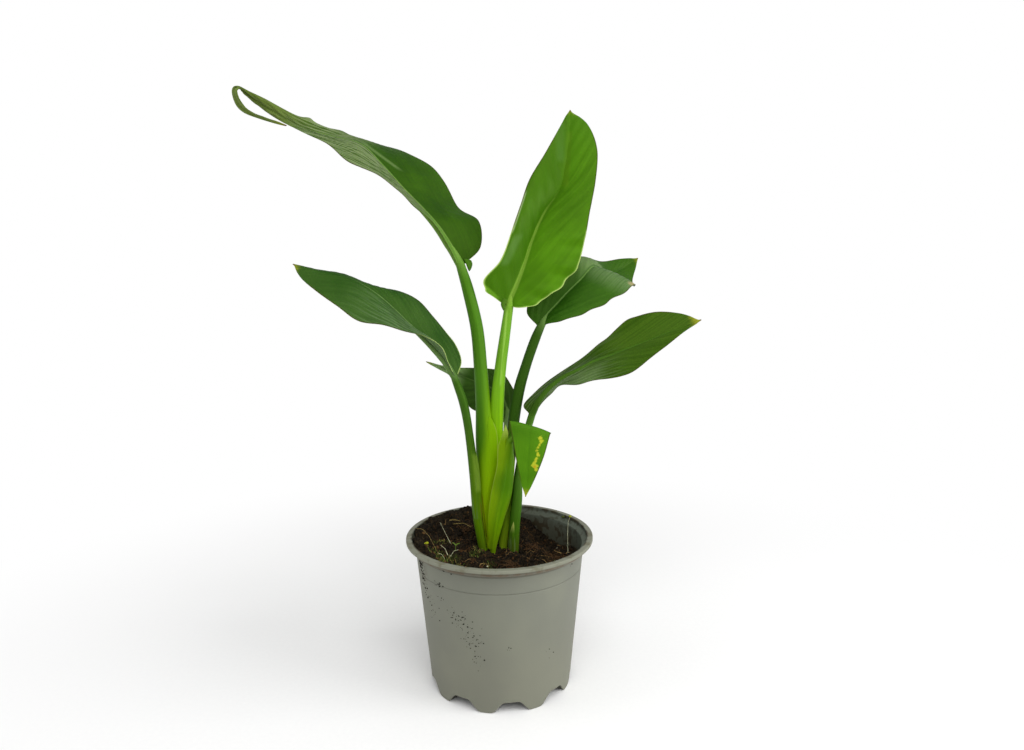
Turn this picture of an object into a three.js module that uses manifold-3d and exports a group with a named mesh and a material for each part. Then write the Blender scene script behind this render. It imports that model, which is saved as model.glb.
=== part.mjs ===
// Potted bird of paradise: a young plant with a fan of leaves in a nursery pot with scalloped feet.
// Millimetres, +Z up. The origin is the middle of the pot's underside, and -Y is the front.
import * as THREE from 'three';
import { mergeVertices } from 'three/addons/utils/BufferGeometryUtils.js';
import Module from 'manifold-3d';

const wasm = await Module();
wasm.setup();

// Pot: the skirt under its floor is cut into feet, with a flat pad in the middle.
const POT_HEIGHT = 98;
const RIM_RADIUS = 60;
const WALL_TOP_RADIUS = 54.6;
const WALL_BASE_RADIUS = 45.4;
const WALL = 1.2;
const LIP_HEIGHT = 2.4;
const STEP_HEIGHT = 3;
const STEP_RADIUS = 57.4;
const EDGE_ROUND = 0.6;
const GROOVE_DROP = 18;
const GROOVE_DEPTH = 0.4;
const GROOVE_HALF_HEIGHT = 0.7;
const FLOOR_HEIGHT = 7.5;
const FOOT_COUNT = 9;
const FIRST_FOOT_DEGREES = -103;
const FOOT_FLAT_DEGREES = 4;
const FOOT_SLOPE_DEGREES = 11;
const FOOT_DEPTH = 7;
const NOTCH_LIP = 0.3;
const PAD_RADIUS = 18;
const PAD_TAPER = 0.8;
const DRAIN_RADIUS = 4;
const DRAIN_RING_RADIUS = 28;
const DRAIN_COUNT = 6;
const DRAIN_SIDES = 12;
const POT_SIDES = 72;
const CUT_PAST = 0.5;
const POT_LOOK = { color: 0x878c8a, roughness: 0.55, metalness: 0 };

// Compost: higher at the back left, with a hollow at the back right. Each wave of clods has
// its share of the height, its turns along x and y in radians per mm, and its phase.
const COMPOST_LEVEL = 88;
const COMPOST_TILT_X = -0.1;
const COMPOST_TILT_Y = 0.09;
const CLOD_HEIGHT = 0.9;
const CLOD_WAVES = [
  { share: 1, alongX: 0.31, alongY: 0.27, phase: 1.2 },
  { share: 0.6, alongX: 0.53, alongY: -0.41, phase: 2.1 },
  { share: 0.4, alongX: 0.83, alongY: 0.71, phase: 1.6 },
];
const HOLLOW = { x: 37, y: 30, radius: 19, depth: 10 };
const COMPOST_RINGS = 9;
const COMPOST_SIDES = 36;
const COMPOST_LOOK = { color: 0x2b1c14, roughness: 0.95, metalness: 0 };

// Fits
const SEAT_GAP = 0.3;
const LEAF_GAP = 0.35;

// Leaves
const BLADE_THICKNESS = 0.8;
const CELLS_PER_HALF = 3;
const ROWS_PER_STATION = 2;
const STALK_SIDES = 8;
const STALK_STEPS_PER_POINT = 2;
const RIB_TIP_RADIUS = 0.55;
const RIB_TAPER = 1.4;
const RIB_END = 0.93;
const RIB_SINK = 0.85;
const RIB_SINK_STATIONS = 3;
const NEARBY = 0.02;
const LEAF_ROUGHNESS = 0.45;

// Each stalk runs from its foot in the compost up to the blade: x, y, z of the middle,
// then half its width across the front view and half its depth.
// Each blade is a row of stations from the stalk to the tip: the midrib, the left margin
// and the right margin, left and right as seen on the upper face with the tip up.
// A sheath tip is a small pointed flap on the stalk, laid out like a blade.
// camber is how far each half bulges towards the upper face between rib and margin.
const LEAVES = [
  {
    name: 'leaf_centre',
    colour: 0x4f9a1e,
    camber: 1.2,
    stalk: [
      [-5, 7, 67, 2.6, 2.6],
      [-5.5, 7, 83, 2.8, 2.8],
      [-3.5, 7, 118, 3.4, 3.2],
      [-1, 6, 145, 3.8, 3.6],
      [-1, 4, 167, 4.2, 3.8],
      [0, 3, 189, 4.1, 3.8],
      [2, 3, 207, 3.6, 3.5],
      [4.5, 3, 224, 3.3, 3.2],
      [7.5, 3, 244, 2.8, 2.8],
    ],
    blade: [
      [[7.5, 3, 244], [5.5, 2, 244.5], [9.5, 2, 244]],
      [[9, 4, 250], [-3.5, 0, 252], [20.5, -2, 244.5]],
      [[13, 6, 259], [-8, -3, 260.5], [34, -1, 252]],
      [[18, 9, 272], [2, -2, 272], [48.5, 0, 266]],
      [[22.5, 12, 285], [8.5, 0, 286.5], [54.5, 3, 284]],
      [[30, 16, 301], [15.5, 5, 305.5], [58, 7, 301]],
      [[41, 20, 317], [21.5, 14, 322.5], [62.5, 13, 322]],
      [[45, 24, 334], [32, 22, 339.5], [64, 19, 341]],
      [[47.5, 28, 352], [42, 29, 356.5], [59, 26, 356.5]],
      [[48.5, 32, 366.5], [47.5, 32, 366.5], [49, 32, 366]],
    ],
  },
  {
    name: 'leaf_tall_left',
    colour: 0x2f6b1f,
    camber: 1,
    stalk: [
      [-10, 3, 68, 3, 3],
      [-10, 3, 84, 3.2, 3],
      [-10, 3, 106, 4, 3.6],
      [-8, 3, 133, 4.6, 4.2],
      [-7.5, 3, 159, 5.6, 4.6],
      [-9, 3, 180, 4.8, 4.4],
      [-10.5, 3, 203, 4.3, 4],
      [-12.5, 3, 230, 4, 3.6],
      [-17.5, 2, 254, 3.6, 3.2],
      [-22, 1, 270, 2.8, 2.6],
    ],
    blade: [
      [[-22, 1, 270], [-23.5, 0, 270], [-19, 2, 271]],
      [[-27, 0, 281.5], [-28.5, -18, 282], [-9.5, 8, 281]],
      [[-35, -2, 294], [-36, -26, 294.5], [-10.5, 16, 297]],
      [[-44, -4, 304.5], [-46.5, -30, 303.5], [-23, 20, 305.5]],
      [[-55, -6, 316], [-54.5, -31, 312], [-32.5, 20, 322.5]],
      [[-66, -8, 328.5], [-66.5, -31, 321], [-49, 18, 337]],
      [[-78, -10, 340.5], [-80.5, -30, 327.5], [-70, 12, 343]],
      [[-94, -12, 344.5], [-95, -27, 338.5], [-89.5, -2, 348]],
      [[-110.5, -13, 349], [-111.5, -20, 347], [-107, -10, 353.5]],
      [[-123, -14, 355], [-124.5, -15, 353], [-120.5, -13, 359.5]],
      [[-132.5, -15, 361], [-134.5, -13, 359.5], [-130, -17, 364.5]],
      [[-139.5, -16, 366.5], [-141, -15, 365], [-138, -18, 368]],
      [[-144, -17, 370], [-143.5, -17, 368.5], [-144.5, -18, 371.5]],
      [[-146, -18, 368.5], [-144, -20, 367.5], [-148.5, -16, 369.5]],
      [[-145, -18, 364], [-143, -20, 364.5], [-147, -16, 363.5]],
      [[-141, -18, 360], [-139.5, -19, 360.5], [-142.5, -17, 359]],
      [[-134, -18, 355.5], [-133.5, -19, 356.5], [-135, -17, 355]],
      [[-124.5, -17.5, 353], [-124, -18, 353.5], [-125, -17, 352.5]],
    ],
  },
  {
    name: 'leaf_folded',
    colour: 0x37791f,
    camber: 0.4,
    stalk: [
      [-4.5, -5, 72, 3, 2.6],
      [-4, -5, 87.5, 3.2, 2.8],
      [-2, -5, 107.5, 5.4, 3.6],
      [2, -4.5, 127, 6.2, 4],
      [4, -4.5, 143, 5.2, 3.8],
      [6, -6, 153.5, 3.4, 3],
      [7, -8, 161, 2, 2],
    ],
    sheathTip: [
      [[4, -7, 146], [0.5, -6, 147], [8, -6, 147]],
      [[4.2, -7, 160], [2, -6, 160], [6.8, -6, 160]],
      [[4.5, -6, 171], [4.1, -6, 171], [4.9, -6, 171]],
    ],
    blade: [
      [[7, -8, 161], [8.5, -8.5, 160.5], [6, -8.5, 161.5]],
      [[11.5, -11, 167], [20.5, -11.5, 163.5], [6, -11, 167]],
      [[15.5, -13, 171], [29, -13, 167], [6, -13, 173]],
      [[19, -16.5, 173], [32, -16.5, 168], [6.5, -16.5, 176]],
      [[18.5, -19, 170.5], [31, -19, 166.5], [7, -18.5, 173]],
      [[18.5, -20, 158.5], [27.5, -20.5, 154.5], [9.5, -19, 158]],
      [[17.5, -20.5, 144], [22.5, -21, 142], [12, -20, 143.5]],
      [[16, -21, 129], [16.5, -21, 129], [15.5, -21, 129]],
    ],
  },
  {
    name: 'leaf_lower_left',
    colour: 0x2d6525,
    camber: 1.2,
    stalk: [
      [-12.5, -4, 71, 2.6, 2.4],
      [-12.5, -4, 87, 2.8, 2.6],
      [-14, -3, 113, 3.2, 3],
      [-15.5, -2, 137, 3.2, 3],
      [-17.5, -2, 160, 3.1, 3],
      [-19.5, -2, 175, 3, 2.8],
      [-22, -3, 186.5, 2.8, 2.6],
      [-25, -3, 195.5, 2.5, 2.4],
      [-27, -4, 201.5, 2.2, 2.2],
    ],
    sheathTip: [
      [[-13.5, -5.5, 124], [-15.5, -5, 124], [-11, -4, 124]],
      [[-13, -4.5, 137], [-14.5, -4.5, 137], [-12, -3.5, 137]],
      [[-13.5, -3.5, 150], [-13.9, -3.5, 150], [-13.1, -3.5, 150]],
    ],
    blade: [
      [[-27, -4, 201.5], [-26, -5.5, 201.5], [-25, -3, 202]],
      [[-32.5, -5, 213], [-30, -10, 211.5], [-22.5, 3, 210.5]],
      [[-39, -6, 221], [-33.5, -15, 221.5], [-26, 5, 220.5]],
      [[-46, -8, 228.5], [-42.5, -20, 228.5], [-32, 6, 228.5]],
      [[-54, -10, 236.5], [-55, -25, 232.5], [-40, 4, 239]],
      [[-62, -12, 245], [-66.5, -28, 236.5], [-48.5, 1, 249]],
      [[-71, -14, 253.5], [-80.5, -29, 239], [-60, -3, 255]],
      [[-82, -16, 261], [-92, -29, 247.5], [-75.5, -6, 258]],
      [[-94.5, -18, 266], [-103, -28, 255.5], [-88.5, -10, 264.5]],
      [[-107, -21, 268.5], [-112.5, -26, 263.5], [-103.5, -15, 268]],
      [[-117.5, -24, 272], [-117.5, -24.5, 271.5], [-117, -23.5, 272]],
    ],
  },
  {
    name: 'leaf_lower_right',
    colour: 0x35701f,
    camber: 1,
    stalk: [
      [8.5, -1, 70, 2.7, 2.7],
      [9, -1, 85.5, 3, 2.8],
      [10, -1, 104.5, 3.1, 2.8],
      [12, -1, 120.5, 2.9, 2.7],
      [12.5, 0, 135, 2.5, 2.5],
      [14.5, 1, 153, 2.3, 2.3],
      [18.5, 1, 166, 2.3, 2.3],
      [21.5, 1, 176, 2.3, 2.2],
    ],
    sheathTip: [
      [[8, -4, 86], [6, -3, 86], [10.5, -3.5, 86]],
      [[8, -4.4, 97], [6.5, -3.6, 97], [9.5, -4, 97]],
      [[9, -4, 107], [8.6, -4, 107], [9.4, -4, 107]],
    ],
    blade: [
      [[21.5, 1, 176], [23, 2.5, 176], [19.5, 3, 176.5]],
      [[25.5, 0, 184], [28, 3, 183], [16.5, 6, 181]],
      [[32, -1, 191.5], [34, 5, 188.5], [23.5, 10, 188]],
      [[40.5, -1, 198.5], [40.5, 7, 193.5], [32, 12, 195]],
      [[50, 0, 204], [53, 9, 193.5], [42.5, 13, 202]],
      [[59.5, 2, 209], [64.5, 10, 196.5], [55, 12, 210.5]],
      [[70, 4, 212.5], [79, 11, 197.5], [67, 11, 221]],
      [[84.5, 7, 217.5], [92.5, 12, 204.5], [83, 11, 233.5]],
      [[100, 9, 223], [107, 12, 216], [99.5, 12, 239]],
      [[116, 12, 228.5], [121, 13, 226.5], [117, 14, 238]],
      [[131.5, 15, 233.5], [131.5, 15, 232.5], [131, 15, 233.5]],
    ],
  },
  {
    name: 'leaf_upper_right',
    colour: 0x2c6422,
    camber: 1.5,
    stalk: [
      [2.5, 2, 68.5, 2.4, 2.4],
      [2.5, 2, 84.5, 2.7, 2.6],
      [4.5, 2, 105, 2.9, 2.7],
      [6.5, 2, 121, 2.9, 2.8],
      [8, 3, 136, 3.1, 3],
      [9, 4, 152, 3.4, 3.2],
      [10, 5, 171.5, 3.7, 3.5],
      [13.5, 7, 190.5, 3.6, 3.3],
      [18.5, 9, 207, 3.2, 3],
      [24, 11, 222, 3.1, 2.8],
      [28, 12, 231, 2.6, 2.5],
    ],
    blade: [
      [[28, 12, 231], [26, 11, 231], [30, 11, 232]],
      [[32, 14, 238], [19, 10, 240], [41, 8, 234.5]],
      [[38.5, 17, 244.5], [23, 13, 251.5], [54, 9, 238.5]],
      [[46, 20, 252], [31.5, 16, 262], [66, 11, 243.5]],
      [[55, 24, 260], [43, 24, 271], [78, 15, 249.5]],
      [[64, 29, 268], [56.5, 33, 274.5], [89.5, 22, 256]],
      [[75, 42, 263], [71.5, 48, 271], [92, 37, 254.5]],
      [[86.5, 54, 265.5], [86, 58, 272.5], [93.5, 50, 259]],
      [[99.5, 64, 273], [99, 64, 273], [100, 63.5, 272]],
    ],
  },
  {
    name: 'leaf_back',
    colour: 0x2a4d2c,
    camber: 1,
    stalk: [
      [1.5, 10, 65, 2.2, 2.2],
      [1.5, 10, 81, 2.5, 2.4],
      [3.5, 12, 116.5, 2.4, 2.4],
      [5, 14, 139.5, 2.3, 2.3],
      [6.5, 17, 155.5, 2.1, 2.1],
      [6.5, 20, 165.5, 1.8, 1.8],
    ],
    blade: [
      [[6.5, 20, 165.5], [5.5, 20, 166], [9.5, 21.5, 165.5]],
      [[6, 23, 176], [2, 21, 172.5], [12.5, 26, 180]],
      [[2.5, 26, 184], [-6, 22, 171.5], [8.5, 30, 191.5]],
      [[-5, 29, 189], [-13, 23, 173.5], [2, 33, 199]],
      [[-13, 31, 192], [-19, 25, 177], [-7.5, 34, 201]],
      [[-21.5, 32, 195.5], [-24, 28, 186], [-17.5, 34, 201.5]],
      [[-30, 32, 199.5], [-30.5, 30, 196], [-28, 33, 202]],
      [[-38.5, 31, 203], [-39, 30, 201.5], [-38, 32, 204]],
      [[-47, 30, 206.5], [-47, 30, 206], [-46.5, 30, 207]],
    ],
  },
];

function wallRadius(z) {
  return WALL_BASE_RADIUS + (WALL_TOP_RADIUS - WALL_BASE_RADIUS) * z / POT_HEIGHT;
}

// A closed geometry becomes a solid that can be joined and cut.
function solidOf(geometry) {
  const bare = geometry.index ? geometry : geometry.clone();
  bare.deleteAttribute('normal');
  bare.deleteAttribute('uv');
  const merged = mergeVertices(bare, 1e-4);
  return new wasm.Manifold(new wasm.Mesh({
    numProp: 3,
    vertProperties: new Float32Array(merged.attributes.position.array),
    triVerts: new Uint32Array(merged.index.array),
  }));
}

function solidFrom(positions, faces) {
  const geometry = new THREE.BufferGeometry();
  geometry.setAttribute('position', new THREE.Float32BufferAttribute(positions, 3));
  geometry.setIndex(faces);
  return solidOf(geometry);
}

function geometryOf(solid) {
  const mesh = solid.getMesh();
  const geometry = new THREE.BufferGeometry();
  const positions = new Float32Array(mesh.vertProperties);
  geometry.setAttribute('position', new THREE.BufferAttribute(positions, 3));
  geometry.setIndex(new THREE.BufferAttribute(new Uint32Array(mesh.triVerts), 1));
  return geometry;
}

// The largest body of a cut solid, without the scraps that the cut left.
function mainBody(solid) {
  const bodies = solid.decompose();
  return bodies.reduce((best, body) => (body.volume() > best.volume() ? body : best));
}

// Pot

// A closed solid of revolution whose profile, from axis to axis, may change with the angle.
function turned(profileAt) {
  const outline = Array.from({ length: POT_SIDES }, (_, side) => profileAt(360 * side / POT_SIDES));
  const points = outline[0].length;
  const positions = [0, 0, outline[0][0][1]];
  for (let point = 1; point < points - 1; point++) {
    outline.forEach((profile, side) => {
      const angle = 2 * Math.PI * side / POT_SIDES;
      const [radius, z] = profile[point];
      positions.push(radius * Math.cos(angle), radius * Math.sin(angle), z);
    });
  }
  const end = positions.length / 3;
  positions.push(0, 0, outline[0][points - 1][1]);
  const at = (point, side) => 1 + (point - 1) * POT_SIDES + side % POT_SIDES;
  const faces = [];
  for (let side = 0; side < POT_SIDES; side++) {
    faces.push(0, at(1, side + 1), at(1, side));
    for (let point = 1; point < points - 2; point++) {
      faces.push(at(point, side), at(point, side + 1), at(point + 1, side + 1));
      faces.push(at(point, side), at(point + 1, side + 1), at(point + 1, side));
    }
    faces.push(end, at(points - 2, side), at(points - 2, side + 1));
  }
  return solidFrom(positions, faces);
}

// The height of the skirt's bottom edge: flat on the feet, with soft slopes up to the notches.
function footBottom(angleDegrees) {
  const spacing = 360 / FOOT_COUNT;
  const turn = (angleDegrees - FIRST_FOOT_DEGREES + 360) % spacing;
  const fromFoot = Math.min(turn, spacing - turn);
  const edge = FOOT_FLAT_DEGREES + FOOT_SLOPE_DEGREES;
  const rise = THREE.MathUtils.smoothstep(fromFoot, FOOT_FLAT_DEGREES, edge);
  return rise * (FLOOR_HEIGHT - NOTCH_LIP);
}

function drainHole(index) {
  const angle = 2 * Math.PI * index / DRAIN_COUNT;
  const depth = WALL + 2 * CUT_PAST;
  const geometry = new THREE.CylinderGeometry(DRAIN_RADIUS, DRAIN_RADIUS, depth, DRAIN_SIDES);
  geometry.rotateX(Math.PI / 2);
  geometry.translate(
    DRAIN_RING_RADIUS * Math.cos(angle),
    DRAIN_RING_RADIUS * Math.sin(angle),
    FLOOR_HEIGHT + WALL / 2,
  );
  return solidOf(geometry);
}

function buildPot() {
  const grooveZ = POT_HEIGHT - GROOVE_DROP;
  const lipZ = POT_HEIGHT - LIP_HEIGHT;
  const stepZ = lipZ - STEP_HEIGHT;
  const shelfZ = stepZ + WALL;
  const floorTop = FLOOR_HEIGHT + WALL;
  const footInner = WALL_BASE_RADIUS - FOOT_DEPTH;
  const outside = turned((angle) => {
    const bottom = footBottom(angle);
    return [
      [0, 0],
      [PAD_RADIUS, 0],
      [PAD_RADIUS + PAD_TAPER, FLOOR_HEIGHT],
      [footInner, FLOOR_HEIGHT],
      [footInner, bottom],
      [wallRadius(bottom), bottom],
      [wallRadius(grooveZ - GROOVE_HALF_HEIGHT), grooveZ - GROOVE_HALF_HEIGHT],
      [wallRadius(grooveZ) - GROOVE_DEPTH, grooveZ],
      [wallRadius(grooveZ + GROOVE_HALF_HEIGHT), grooveZ + GROOVE_HALF_HEIGHT],
      [wallRadius(stepZ), stepZ],
      [STEP_RADIUS, stepZ + EDGE_ROUND],
      [STEP_RADIUS, lipZ],
      [RIM_RADIUS - EDGE_ROUND, lipZ],
      [RIM_RADIUS, lipZ + EDGE_ROUND],
      [RIM_RADIUS, POT_HEIGHT - EDGE_ROUND],
      [RIM_RADIUS - EDGE_ROUND, POT_HEIGHT],
      [0, POT_HEIGHT],
    ];
  });
  const inside = turned((angle) => {
    const pocket = Math.min(footBottom(angle) + WALL, floorTop - NOTCH_LIP);
    return [
      [0, WALL],
      [PAD_RADIUS - WALL, WALL],
      [PAD_RADIUS - WALL + PAD_TAPER, floorTop],
      [footInner + WALL, floorTop],
      [footInner + WALL, pocket],
      [wallRadius(pocket) - WALL, pocket],
      [wallRadius(shelfZ) - WALL, shelfZ],
      [STEP_RADIUS - WALL, lipZ],
      [STEP_RADIUS - WALL, POT_HEIGHT + CUT_PAST],
      [0, POT_HEIGHT + CUT_PAST],
    ];
  });
  let pot = outside.subtract(inside);
  for (let index = 0; index < DRAIN_COUNT; index++) {
    pot = pot.subtract(drainHole(index));
  }
  return pot;
}

// Compost

function compostHeight(x, y) {
  const clods = CLOD_WAVES.reduce((sum, { share, alongX, alongY, phase }) => (
    sum + share * Math.sin(alongX * x + alongY * y + phase)
  ), 0);
  const reach = Math.hypot(x - HOLLOW.x, y - HOLLOW.y) / HOLLOW.radius;
  const hollow = HOLLOW.depth * Math.exp(-reach * reach);
  return COMPOST_LEVEL + COMPOST_TILT_X * x + COMPOST_TILT_Y * y + CLOD_HEIGHT * clods - hollow;
}

// A plug that fills the pot: an uneven top, a side that follows the wall and a flat underside.
function buildCompost() {
  const clearance = WALL + SEAT_GAP;
  const underside = FLOOR_HEIGHT + WALL + SEAT_GAP;
  const positions = [0, 0, compostHeight(0, 0)];
  const around = Array.from({ length: COMPOST_SIDES }, (_, side) => {
    const angle = 2 * Math.PI * side / COMPOST_SIDES;
    const [across, back] = [Math.cos(angle), Math.sin(angle)];
    const nominal = wallRadius(COMPOST_LEVEL) - clearance;
    const height = compostHeight(nominal * across, nominal * back);
    return { across, back, height, radius: wallRadius(height) - clearance };
  });
  for (let ring = 1; ring <= COMPOST_RINGS; ring++) {
    for (const { across, back, height, radius } of around) {
      const x = radius * across * ring / COMPOST_RINGS;
      const y = radius * back * ring / COMPOST_RINGS;
      positions.push(x, y, ring < COMPOST_RINGS ? compostHeight(x, y) : height);
    }
  }
  for (const { across, back } of around) {
    const radius = wallRadius(underside) - clearance;
    positions.push(radius * across, radius * back, underside);
  }
  const undersideCentre = positions.length / 3;
  positions.push(0, 0, underside);
  const at = (ring, side) => 1 + (ring - 1) * COMPOST_SIDES + side % COMPOST_SIDES;
  const faces = [];
  for (let side = 0; side < COMPOST_SIDES; side++) {
    faces.push(0, at(1, side), at(1, side + 1));
    for (let ring = 1; ring <= COMPOST_RINGS; ring++) {
      faces.push(at(ring, side), at(ring + 1, side), at(ring + 1, side + 1));
      faces.push(at(ring, side), at(ring + 1, side + 1), at(ring, side + 1));
    }
    faces.push(undersideCentre, at(COMPOST_RINGS + 1, side + 1), at(COMPOST_RINGS + 1, side));
  }
  return solidFrom(positions, faces);
}

// Leaves

const vector = ([x, y, z]) => new THREE.Vector3(x, y, z);

// A smooth curve that passes through each point at a whole number.
function curveThrough(points) {
  const curve = new THREE.CatmullRomCurve3(points, false, 'catmullrom', 0.5);
  const last = points.length - 1;
  return (station) => curve.getPoint(THREE.MathUtils.clamp(station / last, 0, 1));
}

// A blade as a grid of points with its upper face's normals: one row across at each step.
// A spare above zero widens it at both margins.
function bladeGrid(blade, camber, spare) {
  const rib = curveThrough(blade.map(([middle]) => vector(middle)));
  const left = curveThrough(blade.map(([, margin]) => vector(margin)));
  const right = curveThrough(blade.map(([, , margin]) => vector(margin)));
  const rowCount = (blade.length - 1) * ROWS_PER_STATION;
  const rows = [];
  for (let row = 0; row <= rowCount; row++) {
    const station = row / ROWS_PER_STATION;
    const middle = rib(station);
    const along = rib(station + NEARBY).sub(rib(station - NEARBY)).normalize();
    const swell = camber * Math.sin(Math.PI * row / rowCount);
    const cells = [];
    for (let cell = -CELLS_PER_HALF; cell <= CELLS_PER_HALF; cell++) {
      const out = Math.abs(cell) / CELLS_PER_HALF;
      const reach = (cell < 0 ? left(station) : right(station)).sub(middle);
      const up = reach.clone().cross(along).multiplyScalar(cell < 0 ? -1 : 1).normalize();
      reach.setLength(reach.length() + spare);
      const point = middle.clone().addScaledVector(reach, out);
      cells.push(point.addScaledVector(up, 4 * swell * out * (1 - out)));
    }
    rows.push(cells);
  }
  const width = 2 * CELLS_PER_HALF;
  const normals = rows.map((cells, row) => cells.map((cell, column) => {
    const next = rows[Math.min(row + 1, rowCount)][column];
    const before = rows[Math.max(row - 1, 0)][column];
    const toRight = cells[Math.min(column + 1, width)].clone().sub(cells[Math.max(column - 1, 0)]);
    return toRight.cross(next.clone().sub(before)).normalize();
  }));
  return { rows, normals, rib, rowCount, width };
}

// The blade as a thin closed solid, both faces split into triangles alike.
function bladeSolid(grid, spare) {
  const { rows, normals, rowCount, width } = grid;
  const positions = [];
  for (const shift of [spare, -BLADE_THICKNESS - spare]) {
    rows.forEach((cells, row) => cells.forEach((cell, column) => {
      const point = cell.clone().addScaledVector(normals[row][column], shift);
      positions.push(point.x, point.y, point.z);
    }));
  }
  const perRow = width + 1;
  const under = (rowCount + 1) * perRow;
  const faces = [];
  for (let row = 0; row < rowCount; row++) {
    for (let column = 0; column < width; column++) {
      const a = row * perRow + column;
      const b = a + 1;
      const c = a + perRow;
      const d = c + 1;
      faces.push(a, b, d, a, d, c);
      faces.push(a + under, d + under, b + under, a + under, c + under, d + under);
    }
    const leftEdge = row * perRow;
    const rightEdge = leftEdge + width;
    faces.push(leftEdge, leftEdge + perRow, leftEdge + perRow + under);
    faces.push(leftEdge, leftEdge + perRow + under, leftEdge + under);
    faces.push(rightEdge, rightEdge + under, rightEdge + perRow + under);
    faces.push(rightEdge, rightEdge + perRow + under, rightEdge + perRow);
  }
  for (let column = 0; column < width; column++) {
    const tip = rowCount * perRow + column;
    faces.push(column, column + under, column + 1 + under, column, column + 1 + under, column + 1);
    faces.push(tip, tip + 1, tip + 1 + under, tip, tip + 1 + under, tip + under);
  }
  return solidFrom(positions, faces);
}

// The rings of the stalk, and on under the blade those of its midrib.
function stalkRings(leaf, grid) {
  const centre = curveThrough(leaf.stalk.map(vector));
  const size = curveThrough(leaf.stalk.map(([, , , wide, deep]) => new THREE.Vector3(wide, deep, 0)));
  const steps = (leaf.stalk.length - 1) * STALK_STEPS_PER_POINT;
  const rings = [];
  for (let step = 0; step <= steps; step++) {
    const { x: wide, y: deep } = size(step / STALK_STEPS_PER_POINT);
    rings.push({ middle: centre(step / STALK_STEPS_PER_POINT), wide, deep });
  }
  const top = rings[rings.length - 1];
  const ribStations = Math.round((leaf.blade.length - 1) * RIB_END);
  for (let station = 1; station <= ribStations; station++) {
    const left = (1 - station / ribStations) ** RIB_TAPER;
    const wide = THREE.MathUtils.lerp(RIB_TIP_RADIUS, top.wide, left);
    const deep = THREE.MathUtils.lerp(RIB_TIP_RADIUS, top.deep, left);
    const normal = grid.normals[station * ROWS_PER_STATION][CELLS_PER_HALF];
    const sink = RIB_SINK * deep * Math.min(1, station / RIB_SINK_STATIONS);
    rings.push({ middle: grid.rib(station).addScaledVector(normal, -sink), wide, deep });
  }
  return rings;
}

// The stalk and the midrib as one closed tube of oval rings.
function stalkSolid(rings, spare) {
  const positions = [];
  let broad = new THREE.Vector3(1, 0, 0);
  rings.forEach(({ middle, wide, deep }, ring) => {
    const before = rings[Math.max(ring - 1, 0)].middle;
    const after = rings[Math.min(ring + 1, rings.length - 1)].middle;
    const along = after.clone().sub(before).normalize();
    broad = broad.addScaledVector(along, -broad.dot(along)).normalize();
    const narrow = along.clone().cross(broad);
    for (let side = 0; side < STALK_SIDES; side++) {
      const angle = 2 * Math.PI * side / STALK_SIDES;
      const point = middle.clone()
        .addScaledVector(broad, (wide + spare) * Math.cos(angle))
        .addScaledVector(narrow, (deep + spare) * Math.sin(angle));
      positions.push(point.x, point.y, point.z);
    }
  });
  const foot = positions.length / 3;
  const first = rings[0].middle;
  const last = rings[rings.length - 1].middle;
  positions.push(first.x, first.y, first.z - spare, last.x, last.y, last.z);
  const at = (ring, side) => ring * STALK_SIDES + side % STALK_SIDES;
  const end = rings.length - 1;
  const faces = [];
  for (let side = 0; side < STALK_SIDES; side++) {
    for (let ring = 0; ring < end; ring++) {
      faces.push(at(ring, side), at(ring, side + 1), at(ring + 1, side + 1));
      faces.push(at(ring, side), at(ring + 1, side + 1), at(ring + 1, side));
    }
    faces.push(foot, at(0, side + 1), at(0, side));
    faces.push(foot + 1, at(end, side), at(end, side + 1));
  }
  return solidFrom(positions, faces);
}

// A whole leaf, with spare added all round when it is used as a cutter.
function leafSolid(leaf, spare) {
  const grid = bladeGrid(leaf.blade, leaf.camber, spare);
  let solid = stalkSolid(stalkRings(leaf, grid), spare).add(bladeSolid(grid, spare));
  if (leaf.sheathTip) {
    solid = solid.add(bladeSolid(bladeGrid(leaf.sheathTip, 0, spare), spare));
  }
  return solid;
}

// Assembly

const plant = new THREE.Group();

function addPiece(name, solid, look) {
  const mesh = new THREE.Mesh(geometryOf(solid), new THREE.MeshStandardMaterial(look));
  mesh.name = name;
  plant.add(mesh);
}

addPiece('pot', buildPot(), POT_LOOK);

let compost = buildCompost();
const cutters = [];
for (const leaf of LEAVES) {
  const body = cutters.reduce((rest, cutter) => rest.subtract(cutter), leafSolid(leaf, 0));
  const cutter = leafSolid(leaf, LEAF_GAP);
  cutters.push(cutter);
  compost = compost.subtract(cutter);
  addPiece(leaf.name, mainBody(body), { color: leaf.colour, roughness: LEAF_ROUGHNESS, metalness: 0 });
}
addPiece('compost', mainBody(compost), COMPOST_LOOK);

export default plant;
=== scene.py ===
# Potted bird of paradise: a young plant with a fan of leaves in a nursery pot with scalloped feet.
# Metres, +Z up. The origin is the middle of the pot's underside, and -Y is the front.
import math
import random

import bmesh
import bpy
import numpy as np
from mathutils import Matrix, Vector, noise


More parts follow.
